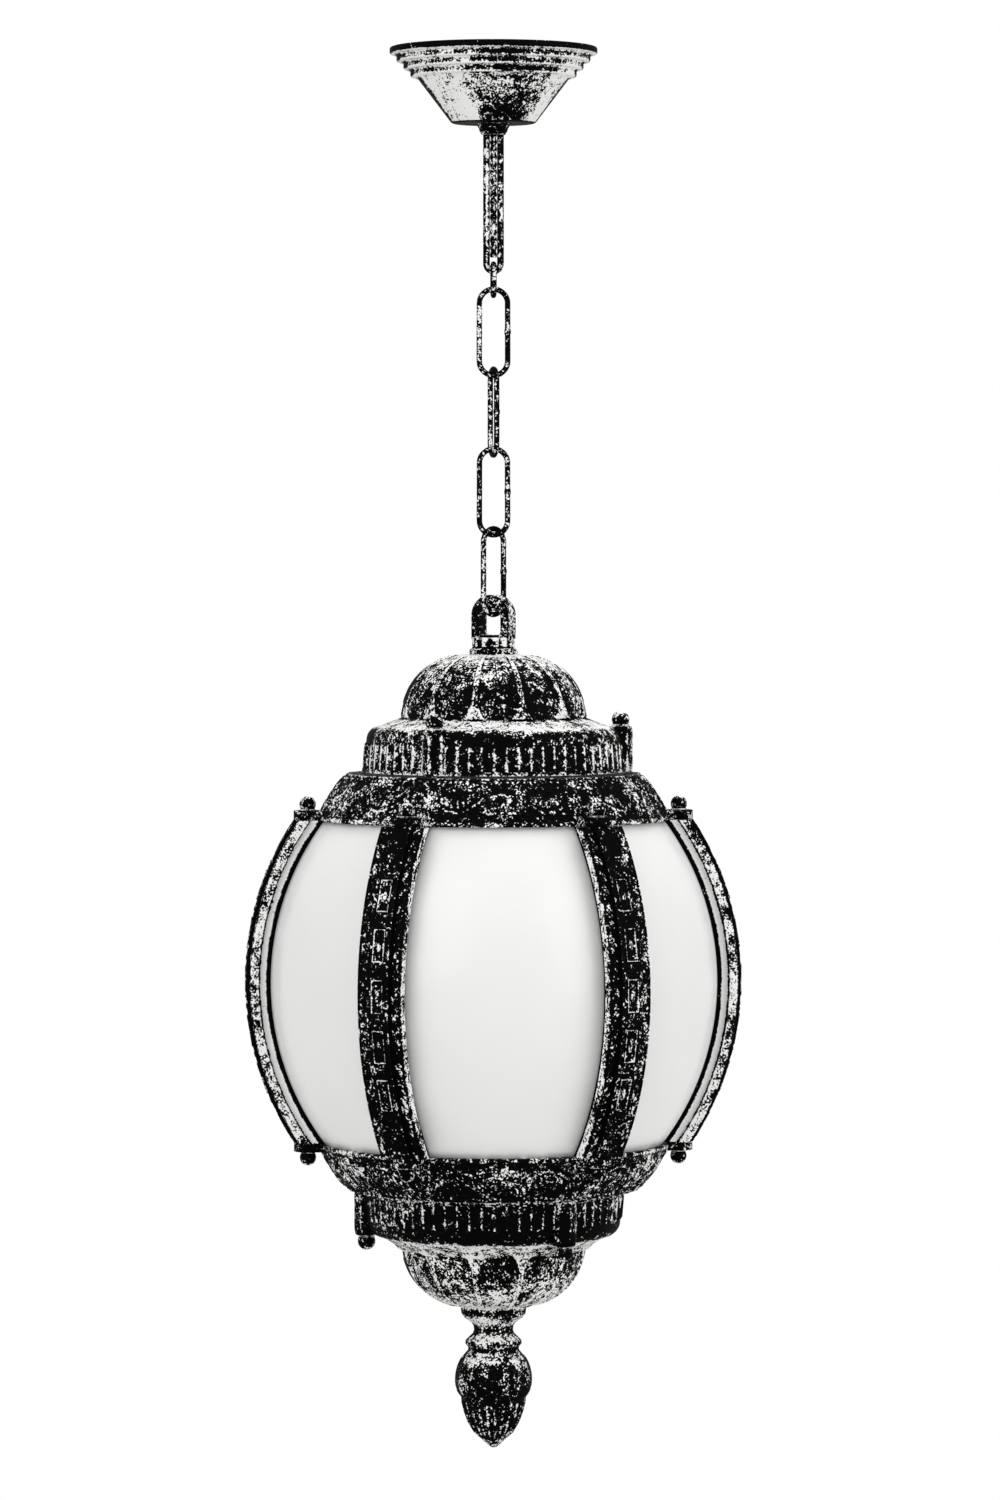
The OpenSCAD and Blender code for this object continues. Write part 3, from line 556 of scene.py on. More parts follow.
# %% [markdown]
# ## Handing a piece over
#
# Every finished piece rides on the body that carries it and stands for its
# CAD nodes, which are hidden. Before that, the attribute for the silver is
# filled in: a share of the carved weight, a share of the mean slope down to a
# point's neighbours, which is positive on an edge and negative in a corner,
# and a tone by place and facing, which is painted highlight and painted shade.
# The tones also paint shade along the left and right outlines, which stay dark.

# %% Hand over
PIECES = []
SMOOTH_BELOW = math.radians(38)
# Painted shade at the left and right outlines: where it starts, how it fades, how dark it is.
OUTLINE_FROM = 0.955
OUTLINE_FADE = 0.03
OUTLINE_SHADE = 0.8
EDGE_FROM = 0.05
HOLLOW_FROM = -0.02
HOLLOW_MOST = -0.3
PROUD_RANGE = (-0.6, 1.2)


def silhouette_shade(normal):
    """1 at the extreme left and right of a round piece, seen from the front, where shade is painted dark,
    and 0 elsewhere.
    """
    flank = abs(normal.x) / max(1e-6, math.hypot(normal.x, normal.y))
    return min(1.0, max(0.0, flank - OUTLINE_FROM) / OUTLINE_FADE) * min(1.0, 2.5 * (1 - abs(normal.z)))


def level(place, normal):
    """Painted highlight on faces that look up or down, or to the sides, brighter than the front, and painted
    shade at the outlines.
    """
    flat = max(0.0, abs(normal.z) - 0.4) / 0.6
    # Painted highlight by facing, minus painted shade at the outlines.
    return 0.3 * flat + 0.5 * flat ** 4 + 0.32 * normal.x ** 2 - 0.05 - OUTLINE_SHADE * silhouette_shade(normal)


def wire(place, normal):
    """Painted highlight on bars and links in front and behind, and painted shade on their outlines, which
    stay black.
    """
    return 0.32 * normal.y ** 2 - 0.2


def rows(source, name, width, kind=np.float32):
    """One row of numbers for each point or edge of a mesh."""
    numbers = np.empty(len(source) * width, kind)
    source.foreach_get(name, numbers)
    return numbers.reshape(-1, width)


def rub_and_paint_light(obj, carved_share, edge_share, painted_light):
    """Store for the silver how far each point stands out, which is wear, plus painted highlight and shade by
    place and facing.
    """
    mesh = obj.data
    place = rows(mesh.vertices, "co", 3)
    normal = rows(mesh.vertex_normals, "vector", 3)
    a, b = rows(mesh.edges, "vertices", 2, np.int32).T
    along = place[b] - place[a]
    along /= np.maximum(np.linalg.norm(along, axis=1), 1e-9)[:, None]
    lift, shared = np.zeros((2, len(place)))
    np.add.at(lift, a, -(along * normal[a]).sum(1))
    np.add.at(lift, b, (along * normal[b]).sum(1))
    np.add.at(shared, a, 1)
    np.add.at(shared, b, 1)
    lift = lift / np.maximum(shared, 1)
    lift = np.clip(lift - EDGE_FROM, 0, 1) + np.clip(lift - HOLLOW_FROM, HOLLOW_MOST, 0)
    marks = mesh.attributes.get("carved")
    carved = rows(marks.data, "value", 1)[:, 0] if marks else 0
    # Painted highlight and painted shade from each piece's tone.
    tones = np.array([painted_light(point.co / MM, point.normal) for point in mesh.vertices])
    wear_and_painted_light = np.clip(carved_share * carved + edge_share * lift + tones, *PROUD_RANGE)
    mesh.attributes.new("wear_and_painted_light", "FLOAT", "POINT").data.foreach_set("value", wear_and_painted_light.astype(np.float32))


def hand_over(obj, body, finish, nodes, carved=0.3, edge=1.8, painted_light=level):
    """Smooth, paint and place a piece on its body, for its CAD nodes."""
    material, slot = finish
    take(obj)
    bpy.ops.object.shade_smooth_by_angle(angle=SMOOTH_BELOW)
    rub_and_paint_light(obj, carved, edge, painted_light)
    obj.data.materials.clear()
    obj.data.materials.append(material)
    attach(obj, body)
    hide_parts(*nodes)
    PIECES.append(obj.name)
    print(obj.name, "on", body, "-", sum(len(p.vertices) - 2 for p in obj.data.polygons), "triangles")


print("ready to model")

# %% [markdown]
# ## Canopy
#
# The canopy covers the ceiling plate: a spun steel cup in four steps above a
# cone. Its profile goes down the outside and back up the inside, so the shell
# has its real thickness. The steps are bevelled, because spun metal has no
# sharp corner. Most of it is silver, but its rim and its foot are black, and
# painted shade darkens the steps' walls and the lower front.

# %% Canopy
CANOPY_R = 51.8
RIM_H = 3.4
STEP_W = 3.45
STEP_H = 3.8
TREAD_FALL = 0.4
INNER_RIM = (48.92, 0)
CONE_TOP = (38.0, -15.2)
CONE_FOOT = (20.8, -37.8)
CANOPY_SHADE = -78
CANOPY_SHADE_HALF = 40

steps = []
for i in range(4):
    steps.append((CANOPY_R - i * STEP_W, 0 if i == 0 else -RIM_H - (i - 1) * STEP_H - TREAD_FALL))
    steps.append((CANOPY_R - i * STEP_W, -RIM_H - i * STEP_H))
canopy = turned("stepped_canopy", [INNER_RIM] + steps + [CONE_TOP] + run(CONE_TOP, CONE_FOOT, 6) + [
    (6.9, -37.8), (6.9, -36.0), (19.0, -36.0), (35.3, -14.8), INNER_RIM], 120)
soften(canopy, 0.9, 3)


def canopy_tone(place, normal):
    """Mostly silver, black at rim and foot, with painted shade low down in front and on the steps' walls."""
    if place.z > 0.2 - RIM_H or place.z < CONE_FOOT[1] + 0.6:
        return -0.3
    front = math.degrees(math.atan2(place.y, place.x)) - CANOPY_SHADE
    low = min(1.0, max(0.0, (-place.z - 6) / 22))
    # Painted shade: a patch low in front, the steps' upright walls, and the left and right outlines.
    shade = (0.3 + 0.36 * low) * swell(front / CANOPY_SHADE_HALF) + 0.42 * (abs(normal.z) < 0.2)
    return 0.8 - shade - 1.2 * silhouette_shade(normal)


hand_over(canopy, "canopy", CASTING, ["canopy"], painted_light=canopy_tone)

# %% [markdown]
# ## Collar
#
# The collar is a small tapered ring that grips the hanger under the canopy.
# Two shallow turned grooves catch the light.

# %% Collar
collar = turned("tapered_collar", [
    (5.5, -35.0), (6.9, -35.0), (6.9, -37.8), (8.4, -37.8), (8.1, -38.8), (7.6, -39.9), (7.3, -40.1),
    (7.3, -40.6), (7.2, -40.9), (6.6, -42.3), (6.2, -42.5), (6.2, -43.0), (6.1, -43.4), (5.5, -43.4),
    (5.5, -35.0)], 64)
soften(collar, 0.2, 2)
hand_over(collar, "canopy", CASTING, ["canopy_collar"])

# %% [markdown]
# ## Hanger link
#
# A long narrow link of round bar hangs from the plate, with a twisted square
# bar welded between its legs. The link is a torus cut at its waist: the upper
# half moves up. The twisted bar is a tall box, sliced across, that a Simple
# Deform modifier twists. The head that holds the link in the plate is turned.

# %% Hanger link
HANGER_WIRE = 1.7
HANGER_BEND = 3.5
HANGER_LOW = -107.6
HANGER_HIGH = -23.7
BAR_W = 2.5
BAR_LEN = 82.4
BAR_LOW = -104.4
BAR_SLICES = 160
BAR_TWIST = math.radians(1980)
WIRE_EDGE = 0.2


def long_link(name, bend, wire_r, low, high, around=48, across=16):
    """A link in the XZ plane whose half circles are centred at heights low and high."""
    fresh()
    bpy.ops.mesh.primitive_torus_add(major_radius=bend * MM, minor_radius=wire_r * MM,
                                     major_segments=around, minor_segments=across,
                                     location=(0, 0, low * MM), rotation=(math.pi / 2, 0, 0))
    obj = settle(bpy.context.object, name)
    edit(obj)
    pick(obj, lambda p, n: p.z > low + HAIR)
    bpy.ops.transform.translate(value=(0, 0, (high - low) * MM))
    return clean(obj)


def hanger_tone(place, normal):
    """A wire's, but with a painted highlight stripe on the left leg, a little to its right."""
    return 0.5 * swell((normal.x - 0.1) / 0.3) if place.x < -2 else wire(place, normal)


hanger = long_link("hanger_ring", HANGER_BEND, HANGER_WIRE, HANGER_LOW, HANGER_HIGH)
bar = box("twisted_bar", (0, 0, BAR_LOW + BAR_LEN / 2), (BAR_W, BAR_W, BAR_LEN))
edit(bar)
everything()
bpy.ops.mesh.subdivide(number_cuts=2)
for k in range(1, BAR_SLICES):
    everything()
    bpy.ops.mesh.bisect(plane_co=(0, 0, (BAR_LOW + BAR_LEN * k / BAR_SLICES) * MM), plane_no=(0, 0, 1))
fresh()
apply_modifier(bar, "SIMPLE_DEFORM", deform_method="TWIST", deform_axis="Z", angle=BAR_TWIST)
head = turned("hanger_head", [(0, -2.4), (3.0, -2.4), (3.0, -18), (4.6, -18), (5.2, -18.6), (5.2, -21.4),
                              (4.6, -22), (0, -22)], 48)
join(hanger, bar, head)
hand_over(hanger, "hanger", LINKS, ["hanger_link"], edge=WIRE_EDGE, painted_light=hanger_tone)

# %% [markdown]
# ## Chain
#
# Chain links are bent from wire and welded. All four are one link, copied
# down the chain and turned to where the photograph shows them. The weld is a
# slight swelling on one leg: rings are cut there, and the middle ones swell.
# The small joining link above them is a plain ring, drawn out a little, and
# turned edge-on.

# %% Chain
LINK_WIRE = 1.4
CHAIN_LEN = 45.7
CHAIN_W = 17.0
CHAIN_TOPS = (-118.8, -158.6, -198.4, -238.2)
CHAIN_TURNS = (0, -80, -10, 42)
WELD_RINGS = (-2.4, -1.5, -0.7, 0, 0.7, 1.5, 2.4)
WELD_HALF = 1.1
WELD_RISE = 0.28
JOINER_R = 6
JOINER_LOW = -118.7
JOINER_HIGH = -112.3


def welded(obj, at_z, side, rise):
    """Cut rings into one leg of a link and swell the middle ones by rise."""
    edit(obj)
    for step in WELD_RINGS:
        everything()
        bpy.ops.mesh.bisect(plane_co=(0, 0, (at_z + step) * MM), plane_no=(0, 0, 1))
    pick(obj, lambda p, n: p.x * side > 0 and abs(p.z - at_z) < WELD_HALF)
    bpy.ops.transform.shrink_fatten(value=rise * MM)
    fresh()
    return obj


bend = CHAIN_W / 2 - LINK_WIRE
model = long_link("chain_model", bend, LINK_WIRE, -(CHAIN_LEN - CHAIN_W / 2), -CHAIN_W / 2)
welded(model, -CHAIN_LEN / 2, 1, WELD_RISE)
for k, (top, twist) in enumerate(zip(CHAIN_TOPS, CHAIN_TURNS), 1):
    link = copy_of(model, "welded_link_%d" % k, Matrix.Translation((0, 0, top * MM)) @ turn(twist))
    hand_over(link, "link_%d" % k, LINKS, ["chain_link_%d" % k], edge=WIRE_EDGE, painted_light=wire)
drop(model)

joiner = long_link("joining_ring", JOINER_R - LINK_WIRE, LINK_WIRE, JOINER_LOW, JOINER_HIGH)
joiner.data.transform(turn(90))
hand_over(joiner, "joiner", LINKS, ["joining_link"], edge=WIRE_EDGE, painted_light=wire)

# %% [markdown]
# ## Top loop
#
# The loop screws onto the lantern's nipple and hangs in the last link. It is
# an arch with a window, standing on a fluted block. The arch is a disc whose
# lower half is pulled down, thickened, with the window cut by a Boolean, and
# every edge is rounded.

# %% Top loop
ARCH_Z = -283.1
ARCH_R = 10.5
ARCH_T = 8
ARCH_FOOT_Z = -294.6
WINDOW_W = 11.6
WINDOW_H = 11.8
WINDOW_Z = -286.7
BLOCK_R = 9.3
BLOCK_LOW = -299.4
LOOP_FLUTES = 12
LOOP_TURN = -30

fresh()
bpy.ops.mesh.primitive_circle_add(vertices=64, radius=ARCH_R * MM, fill_type="NGON",
                                  location=(0, ARCH_T / 2 * MM, ARCH_Z * MM), rotation=(math.pi / 2, 0, 0))
loop = settle(bpy.context.object, "arched_loop")
edit(loop)
pick(loop, lambda p, n: p.z < ARCH_Z - HAIR)
bpy.ops.transform.resize(value=(1, 1, 0), center_override=(0, 0, ARCH_Z * MM))
bpy.ops.transform.translate(value=(0, 0, (ARCH_FOOT_Z - ARCH_Z) * MM))
everything()
bpy.ops.mesh.extrude_region_move(TRANSFORM_OT_translate={"value": (0, -ARCH_T * MM, 0)})
clean(loop)
window = box("window", (0, 0, WINDOW_Z), (WINDOW_W, 20, WINDOW_H))
soften(window, 1.6, 3)
apply_modifier(loop, "BOOLEAN", object=window, operation="DIFFERENCE", solver="EXACT")
drop(window)
soften(loop, 1.3, 3, 40)


def block_flutes(x, y, z):
    """Upright ridges round the block's wall."""
    if math.hypot(x, y) <= BLOCK_R - 0.3 or z <= BLOCK_LOW - 0.1:
        return 0
    return (0.5 + 0.5 * math.cos(LOOP_FLUTES * math.atan2(y, x))) ** 0.7


block = turned("fluted_block", [(0, -294.0), (8.8, -294.0), (BLOCK_R, -294.4)] + run(
    (BLOCK_R, -294.4), (BLOCK_R, BLOCK_LOW), 5) + [
    (11.2, -299.6), (12.0, -300.2), (12.0, -302.0), (11.6, -302.6), (0, -302.6)], 96)
relief(block, 1.35, block_flutes)
join(loop, block)
loop.data.transform(turn(LOOP_TURN))
hand_over(loop, "lantern", CASTING, ["top_loop"], carved=0.35, edge=1.2)

# %% [markdown]
# ## Crown and cup
#
# The crown above and the cup below come from one pattern: a drum with 66 fine
# reeds, a round shoulder, and a dome in twelve gores. The skin has six
# columns for each reed, so all reeds come out alike. Gore ridges and the
# faint leaf in each gore are raised by rules of angle and height. Three lugs
# for the screws stand half inside the drum, each with upright ridges.

# %% Casting pattern
WAIST = -465.7
DRUM_R = 65.8
DRUM_FOOT = 104.8
SHOULDER = 127.6
CASTING_TOP = 163.1
REEDS = 66
COLUMNS = 6 * REEDS
GORE = 30
DOME_R = 31.3
DOME_C = (14.7, 131.8)
LUG_RING = 63.7
LUG_R = 5.8
LUG_BORE = 2.3
BOWL_R = 60
DRUM_MIDDLE = 112


def casting_skin(name, rise, bore):
    """Drum, shoulder and dome, heights counted from the waist. The dome starts rise above the shoulder."""
    low, high, shoulder = (64.9, 106.7), (63.9, 118.4), (63.6, 120.6)
    outside = [(DRUM_R, DRUM_FOOT), (DRUM_R, 106.1), (65.5, 106.5), low] + run(low, high, 4)
    outside += run(high, shoulder, 2) + bow((56.6, 120.6), 7, 0, 90, 9)[1:]
    foot = SHOULDER + rise
    outside += run((56.6, SHOULDER), (46.4, foot - 0.2), 5)
    start = math.degrees(math.asin(max(0, foot - DOME_C[1]) / DOME_R)) + 0.6
    outside += bow(DOME_C, DOME_R, start, 90, 44) + [(bore, CASTING_TOP)]
    inside = [(bore, 159.6), (21.4, 159.6)] + bow(DOME_C, 28.6, 76, 0, 10) + [
        (43.3, 124.9 + rise), (56.6, 124.9), (60.9, 120.6), (62.8, DRUM_FOOT), (DRUM_R, DRUM_FOOT)]
    return turned(name, outside + inside, COLUMNS)


def drum_and_dome(x, y, z):
    """How high the pattern stands at a point of the crown's skin."""
    r, a = math.hypot(x, y), math.degrees(math.atan2(y, x))
    if 106.6 < z < 118.6 and r > 63.5:
        return 0.85 * max(0.0, math.cos(math.radians(REEDS * a))) ** 2
    if z <= DOME_C[1] or math.hypot(r - DOME_C[0], z - DOME_C[1]) < DOME_R - 0.5 or r < 18.7:
        return 0
    gore = (a + GORE / 2) % GORE - GORE / 2
    tall = math.degrees(math.asin(min(1, (z - DOME_C[1]) / DOME_R)))
    foot = max(0.0, 1 - tall / 18)
    if abs(gore) > 13 - 5 * foot ** 2:
        return 0.6 + 0.4 * foot
    along = (tall - 14) / 52
    if not 0 < along < 1:
        return 0
    wide = 8.5 * math.sin(math.pi * along ** 0.8)
    vein = 0.5 + 0.5 * math.cos(2 * math.pi * (abs(gore) / 5.5 - along * 4.5))
    blade = swell(gore / max(wide, 0.1)) * (0.18 + 0.22 * vein)
    return max(blade, 0.35 * swell(gore / 0.9) if along < 0.93 else 0)


def lug_ridges(x, y, z):
    """Six upright ridges, of which the three outer ones show."""
    if not 106 < z < 126 or math.hypot(x, y) <= LUG_R - 0.1:
        return 0
    return swell(((math.degrees(math.atan2(y, x)) + 30) % 60 - 30) / 9)


def boss(name):
    """The round lug that holds a screw, half inside the drum."""
    foot, wall_foot = (LUG_BORE, DRUM_FOOT), (LUG_R, DRUM_FOOT)
    lug = turned(name, [foot, wall_foot] + run(wall_foot, (LUG_R, 126.2), 8) + [
        (5.5, 127.1), (4.7, SHOULDER), (LUG_BORE, SHOULDER), foot], 48)
    relief(lug, 0.35, lug_ridges)
    lug.data.transform(Matrix.Translation((LUG_RING * MM, 0, 0)))
    return lug


print("pattern:", COLUMNS, "columns")

# %% Crown and cup
def cast(name, rise, bore, first_boss):
    """One casting of the pattern, its three lugs a third of a turn apart."""
    skin = casting_skin(name, rise, bore)
    relief(skin, 0.9, drum_and_dome)
    for k in range(3):
        lug = boss("lug")
        lug.data.transform(turn(first_boss + 120 * k))
        join(skin, lug)
    return skin


def cup_tone(place, normal):
    """Painted highlight on the bowl, and painted shade on the drum's lower half."""
    if math.hypot(place.x, place.y) < BOWL_R:
        return level(place, normal) + 0.1
    return level(place, normal) - (0.16 if WAIST - place.z > DRUM_MIDDLE else 0.0)


BASE = Matrix.Translation((0, 0, WAIST * MM)) @ Matrix.Rotation(math.pi, 4, "X")
ROOF = Matrix.Translation((0, 0, WAIST * MM))
crown = cast("domed_crown", 4.2, 5.3, 0)
crown.data.transform(ROOF)
hand_over(crown, "lantern", CASTING, ["crown"], carved=0.5, edge=0.9)
cup = cast("gored_cup", 6.6, 4.3, 60)
cup.data.transform(BASE)
hand_over(cup, "cup", CASTING, ["cup"], carved=0.34, edge=0.8, painted_light=cup_tone)

# %% [markdown]
# ## Skirts
#
# A flared skirt joins each drum to the barrel. Its slope carries the richest
# ornament: in each of six bays a shell, a swag to each side, a rosette where
# the swags hang, and a leaf beside each ear. The rule works on a flat map of
# a bay, u across and v down the slope in mm.

# %% Skirt ornament
SKIRT_TURN = 720
SKIRT_RIM = 80.8
SKIRT_TOP = 103.8
SKIRT_TOP_R = 71.6
SKIRT_FLARE = 16.7
HOOK_U = 8.2
EAR_U = 36.5
ROSETTE_V = 8


def skirt_r(h):
    """The slope's radius at a height above the waist."""
    return SKIRT_TOP_R + SKIRT_FLARE * max(0.0, (SKIRT_TOP - h) / 23) ** 0.72


def shell(u, v):
    """A fan of seven lobes that opens upwards from its foot."""
    reach = math.hypot(u, v - 22.5)
    lean = math.degrees(math.atan2(u, 22.5 - v))
    if reach < 2.6:
        return swell(reach / 2.7)
    if abs(lean) > 84 or reach > 12.6:
        return 0
    lobe = (lean / 24 + 0.5) % 1 * 2 - 1
    rim = 11.2 + 1.4 * swell(lobe)
    return (0.45 + 0.5 * swell(lobe)) * min(1, (rim - reach) / 0.9) * min(1, reach / 4)


def swag(u, v):
    """A beaded rope that hangs between two rosettes, with a cord below it."""
    along = (u - 22.5) / 13.5
    if abs(along) > 1:
        return 0
    sag = 7.5 + 9 * (1 - along * along)
    slope = (1 + (1.33 * along) ** 2) ** 0.5
    bead = 0.72 + 0.28 * math.cos(2 * math.pi * u / 2.7)
    return max(swell((v - sag) / slope / 2.1) * bead, 0.6 * swell((v - sag - 4.6) / slope / 0.9))


def rosette(u, v):
    """Six petals round an eye."""
    reach = math.hypot(u, v)
    if reach > 4.2:
        return 0
    petal = 0.5 + 0.5 * math.cos(6 * math.atan2(v, u))
    return max(swell(reach / 1.3), (0.35 + 0.6 * petal) * swell(reach / 4.2))


def leaf(u, v):
    """An upright leaf with slanting veins."""
    along = (v - 2.5) / 22
    if not 0 < along < 1:
        return 0
    wide = 4.4 * math.sin(math.pi * along ** 0.75) + 0.2
    vein = 0.5 + 0.5 * math.cos(2 * math.pi * (abs(u) / 3.4 + along * 5))
    return max(swell(u / wide) * (0.35 + 0.45 * vein), 0.9 * swell(u / 0.8))


def skirt_map(x, y, z):
    """The bay's ornament at a point of the skirt, on a lumpy ground."""
    r = math.hypot(x, y)
    if r < skirt_r(z) - 0.4 or z < SKIRT_RIM + 0.1 or z > SKIRT_TOP - 0.1:
        return 0
    bay = (math.degrees(math.atan2(y, x)) % 60) - 30
    u = abs(math.radians(bay) * r)
    v = math.hypot(SKIRT_TOP - z, skirt_r(z) - SKIRT_TOP_R)
    roll = max(swell((v - 1.2) / 1.2) * 0.6, swell((v - 27.2) / 1.3) * 0.7)
    bead = swell(math.hypot((math.radians(bay) * 80 + 1.5) % 3 - 1.5, v - 3.6) / 1.1) * 0.55
    lumps = 0.5 * max(0.0, noise.noise(Vector((x, y, z)) / 1.7))
    return lumps + max(shell(math.radians(bay) * r, v), swag(u, v), rosette(u - HOOK_U, v - ROSETTE_V),
                       rosette(u - EAR_U, v - ROSETTE_V) * 0.8, leaf(u - EAR_U, v), roll, bead)


print("skirt map:", SKIRT_TURN, "columns")

# %% [markdown]
# ## Skirt castings
#
# The wall's profile comes from its real section: outer flare, the pocket that
# the panes enter, a ledge over them and the flat flange under the drum. The
# flange is 0.02 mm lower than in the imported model, to clear the seal beside
# it. The ears that take the rib screws are drawn as a disc with its inner
# half pulled into the wall, raised and rounded.

# %% Skirts
SLOPE_H = 22.98
SLOPE_ROWS = 38
FLANGE = SKIRT_RIM + SLOPE_H
EAR_RING = 93
EAR_R = 7
EAR_ROOT = 11.5
EAR_H = 4.6


def ear():
    """A lobe on the rim that takes a ball screw."""
    fresh()
    bpy.ops.mesh.primitive_circle_add(vertices=40, radius=EAR_R * MM, fill_type="NGON",
                                      location=(EAR_RING * MM, 0, SKIRT_RIM * MM))
    lobe = settle(bpy.context.object, "ear")
    edit(lobe)
    pick(lobe, lambda p, n: p.x < EAR_RING - HAIR)
    bpy.ops.transform.resize(value=(0, 1, 1), center_override=(EAR_RING * MM, 0, 0))
    bpy.ops.transform.translate(value=(-EAR_ROOT * MM, 0, 0))
    everything()
    bpy.ops.mesh.extrude_region_move(TRANSFORM_OT_translate={"value": (0, 0, EAR_H * MM)})
    clean(lobe)
    soften(lobe, 0.9, 3)
    return lobe


def skirt(name):
    """The turned wall with its ornament and six ears."""
    heights = [SKIRT_RIM + SLOPE_H * i / SLOPE_ROWS for i in range(SLOPE_ROWS + 1)]
    slope = [(skirt_r(h), h) for h in heights]
    inner = [(56.5, FLANGE), (56.5, 100.3), (skirt_r(98.3) - 4.8, 100.3), (skirt_r(98.3) - 2.8, 98.3),
             (skirt_r(88.1) - 4.3, 88.1), (76.8, 88.1), (76.8, 85.6), (81.8, 85.6), (85.5, SKIRT_RIM),
             (88.3, SKIRT_RIM)]
    wall = turned(name, slope + inner, SKIRT_TURN)
    relief(wall, 1.15, skirt_map)
    lobe = ear()
    for k in range(6):
        join(wall, copy_of(lobe, "ear_%d" % k, turn(60 * k)))
    drop(lobe)
    return wall


def skirt_tone(place, normal):
    """A painted highlight on the flanks, and painted shade at the outlines."""
    return 0.24 * normal.x ** 2 - 0.02 - OUTLINE_SHADE * silhouette_shade(normal)


roof = skirt("ornate_roof_skirt")
base = copy_of(roof, "ornate_base_skirt", BASE)
roof.data.transform(ROOF)
for piece, node in ((roof, "roof_skirt"), (base, "base_skirt")):
    hand_over(piece, "lantern", CASTING, [node], carved=0.2, edge=0.9, painted_light=skirt_tone)

# %% [markdown]
# ## Ribs
#
# Six ribs hold the panes. Their section is a T with a groove for the glass on
# each side, spun about the barrel's own centre, which lies beyond the axis.
# Both ends are cut level. The bands beside the crest carry slanting leaves,
# and the crest itself a lumpy ground.

# %% Rib bar
ARC_IN = 23.0
CREST = 147.5
CREST_X = CREST - ARC_IN
REACH = 39.0
RIB_SLICES = 300
RIB_END = 80.75
TABLET_PITCH = 24.75
LEAF_PITCH = TABLET_PITCH / 3
GLASS_EDGE = 136.6
WALL_END = 140.4
LIP = 140.8


def rib_bar():
    """The T section, spun about the barrel's centre and cut level."""
    half = [(129.7, 0), (129.7, 8.6), (130.1, 9), (131.5, 9), (131.5, 6), (135.3, 6), (135.3, 9)]
    half += run((135.3, 9), (140.5, 9), 5) + [(140.5, 11.6), (140.9, 12)] + run((140.9, 12), (144.3, 12), 3)
    half += [(144.85, 11.8), (144.95, 11.4), (144.7, 11.0)]
    half += run((144.7, 11.0), (144.7, 6.4), 9) + [(145.0, 6.1), (146.5, 5.95), (146.9, 5.5)]
    half += run((146.9, 5.5), (146.9, 0), 8)
    section = half + [(r, -y) for r, y in half[-2::-1]]
    low = math.radians(-REACH)
    points = [(r * math.cos(low) - ARC_IN, y, r * math.sin(low)) for r, y in section]
    bar = drawn("rib_bar", points)
    everything()
    bpy.ops.mesh.spin(steps=RIB_SLICES, angle=2 * math.radians(REACH), center=(-ARC_IN * MM, 0, 0),
                      axis=(0, 1, 0))
    everything()
    bpy.ops.mesh.remove_doubles(threshold=HAIR * MM)
    for side in (1, -1):
        cut_level(side * RIB_END, side)
    return clean(bar)


def rib_band(x, y, z):
    """Slanting leaves on the bands beside the crest, and a lumpy ground on it."""
    out = math.hypot(x + ARC_IN, z)
    along = math.atan2(z, x + ARC_IN) * CREST
    if out > 146.8:
        return 0.6 * max(0.0, noise.noise(Vector((along, y, 0)) / 1.5))
    if out < 144.5 or not 6.5 < abs(y) < 11.1:
        return 0
    phase = abs(along) % LEAF_PITCH / LEAF_PITCH
    middle = 7.0 + 3.3 * phase
    curl = swell(math.hypot((phase - 0.12) * LEAF_PITCH, abs(y) - 9.3) / 1.3)
    return 0.5 * max(swell((abs(y) - middle) / (0.25 + 1.25 * math.sin(math.pi * phase))), 0.9 * curl)


def rib_tone(place, normal):
    """Painted highlight along the side wall, painted shade beside the glass and under the lip, even on the
    face.
    """
    out = math.hypot(place.x + ARC_IN, place.z)
    if out < GLASS_EDGE:
        return -0.5
    if abs(normal.y) <= 0.75:
        return -0.06
    if abs(place.y) <= 8.5:
        return -0.5
    return 1.1 if out < WALL_END else -0.3 if out < LIP else 0.45


rib = rib_bar()
relief(rib, 0.9, rib_band)
print("rib bar:", len(rib.data.vertices), "points")

# %% [markdown]
# ## Rib ornament
#
# Along the crest stand five framed tablets, each with an oval, and six beads.
# The tablet is a box with its top face inset and sunk, then rounded. The oval
# in it and the beads are spheres pressed into the crest. Each is made once at
# the middle of the rib and swung along the arc. A relief of 0.02 mm only
# marks tablet and oval for the silver.

# %% Tablets and beads
MARK_ONLY = 0.02
BEAD_R = 2.6
PAD_ALONG = 75.9


def swing(along):
    """Turn about the barrel's centre by a length along the crest."""
    centre = Matrix.Translation((-ARC_IN * MM, 0, 0))
    return centre @ Matrix.Rotation(-along / CREST, 4, "Y") @ centre.inverted()


def tablet():
    """A frame round a sunk field with an oval in it."""
    frame_box = box("tablet", (CREST_X - 1.25, 0, 0), (2.5, 6, 16))
    edit(frame_box)
    pick(frame_box, lambda p, n: n.x > 0.9, "FACE")
    bpy.ops.mesh.inset(thickness=0.95 * MM)
    bpy.ops.transform.translate(value=(-0.7 * MM, 0, 0))
    soften(frame_box, 0.2, 2)
    bpy.ops.mesh.primitive_uv_sphere_add(segments=20, ring_count=12, radius=1,
                                         location=((CREST_X - 1.1) * MM, 0, 0),
                                         scale=(0.95 * MM, 1.2 * MM, 3.2 * MM))
    oval = settle(bpy.context.object, "oval")
    relief(frame_box, MARK_ONLY, lambda x, y, z: x > CREST_X - 0.3)
    relief(oval, MARK_ONLY, lambda x, y, z: 0.8)
    return join(frame_box, oval)


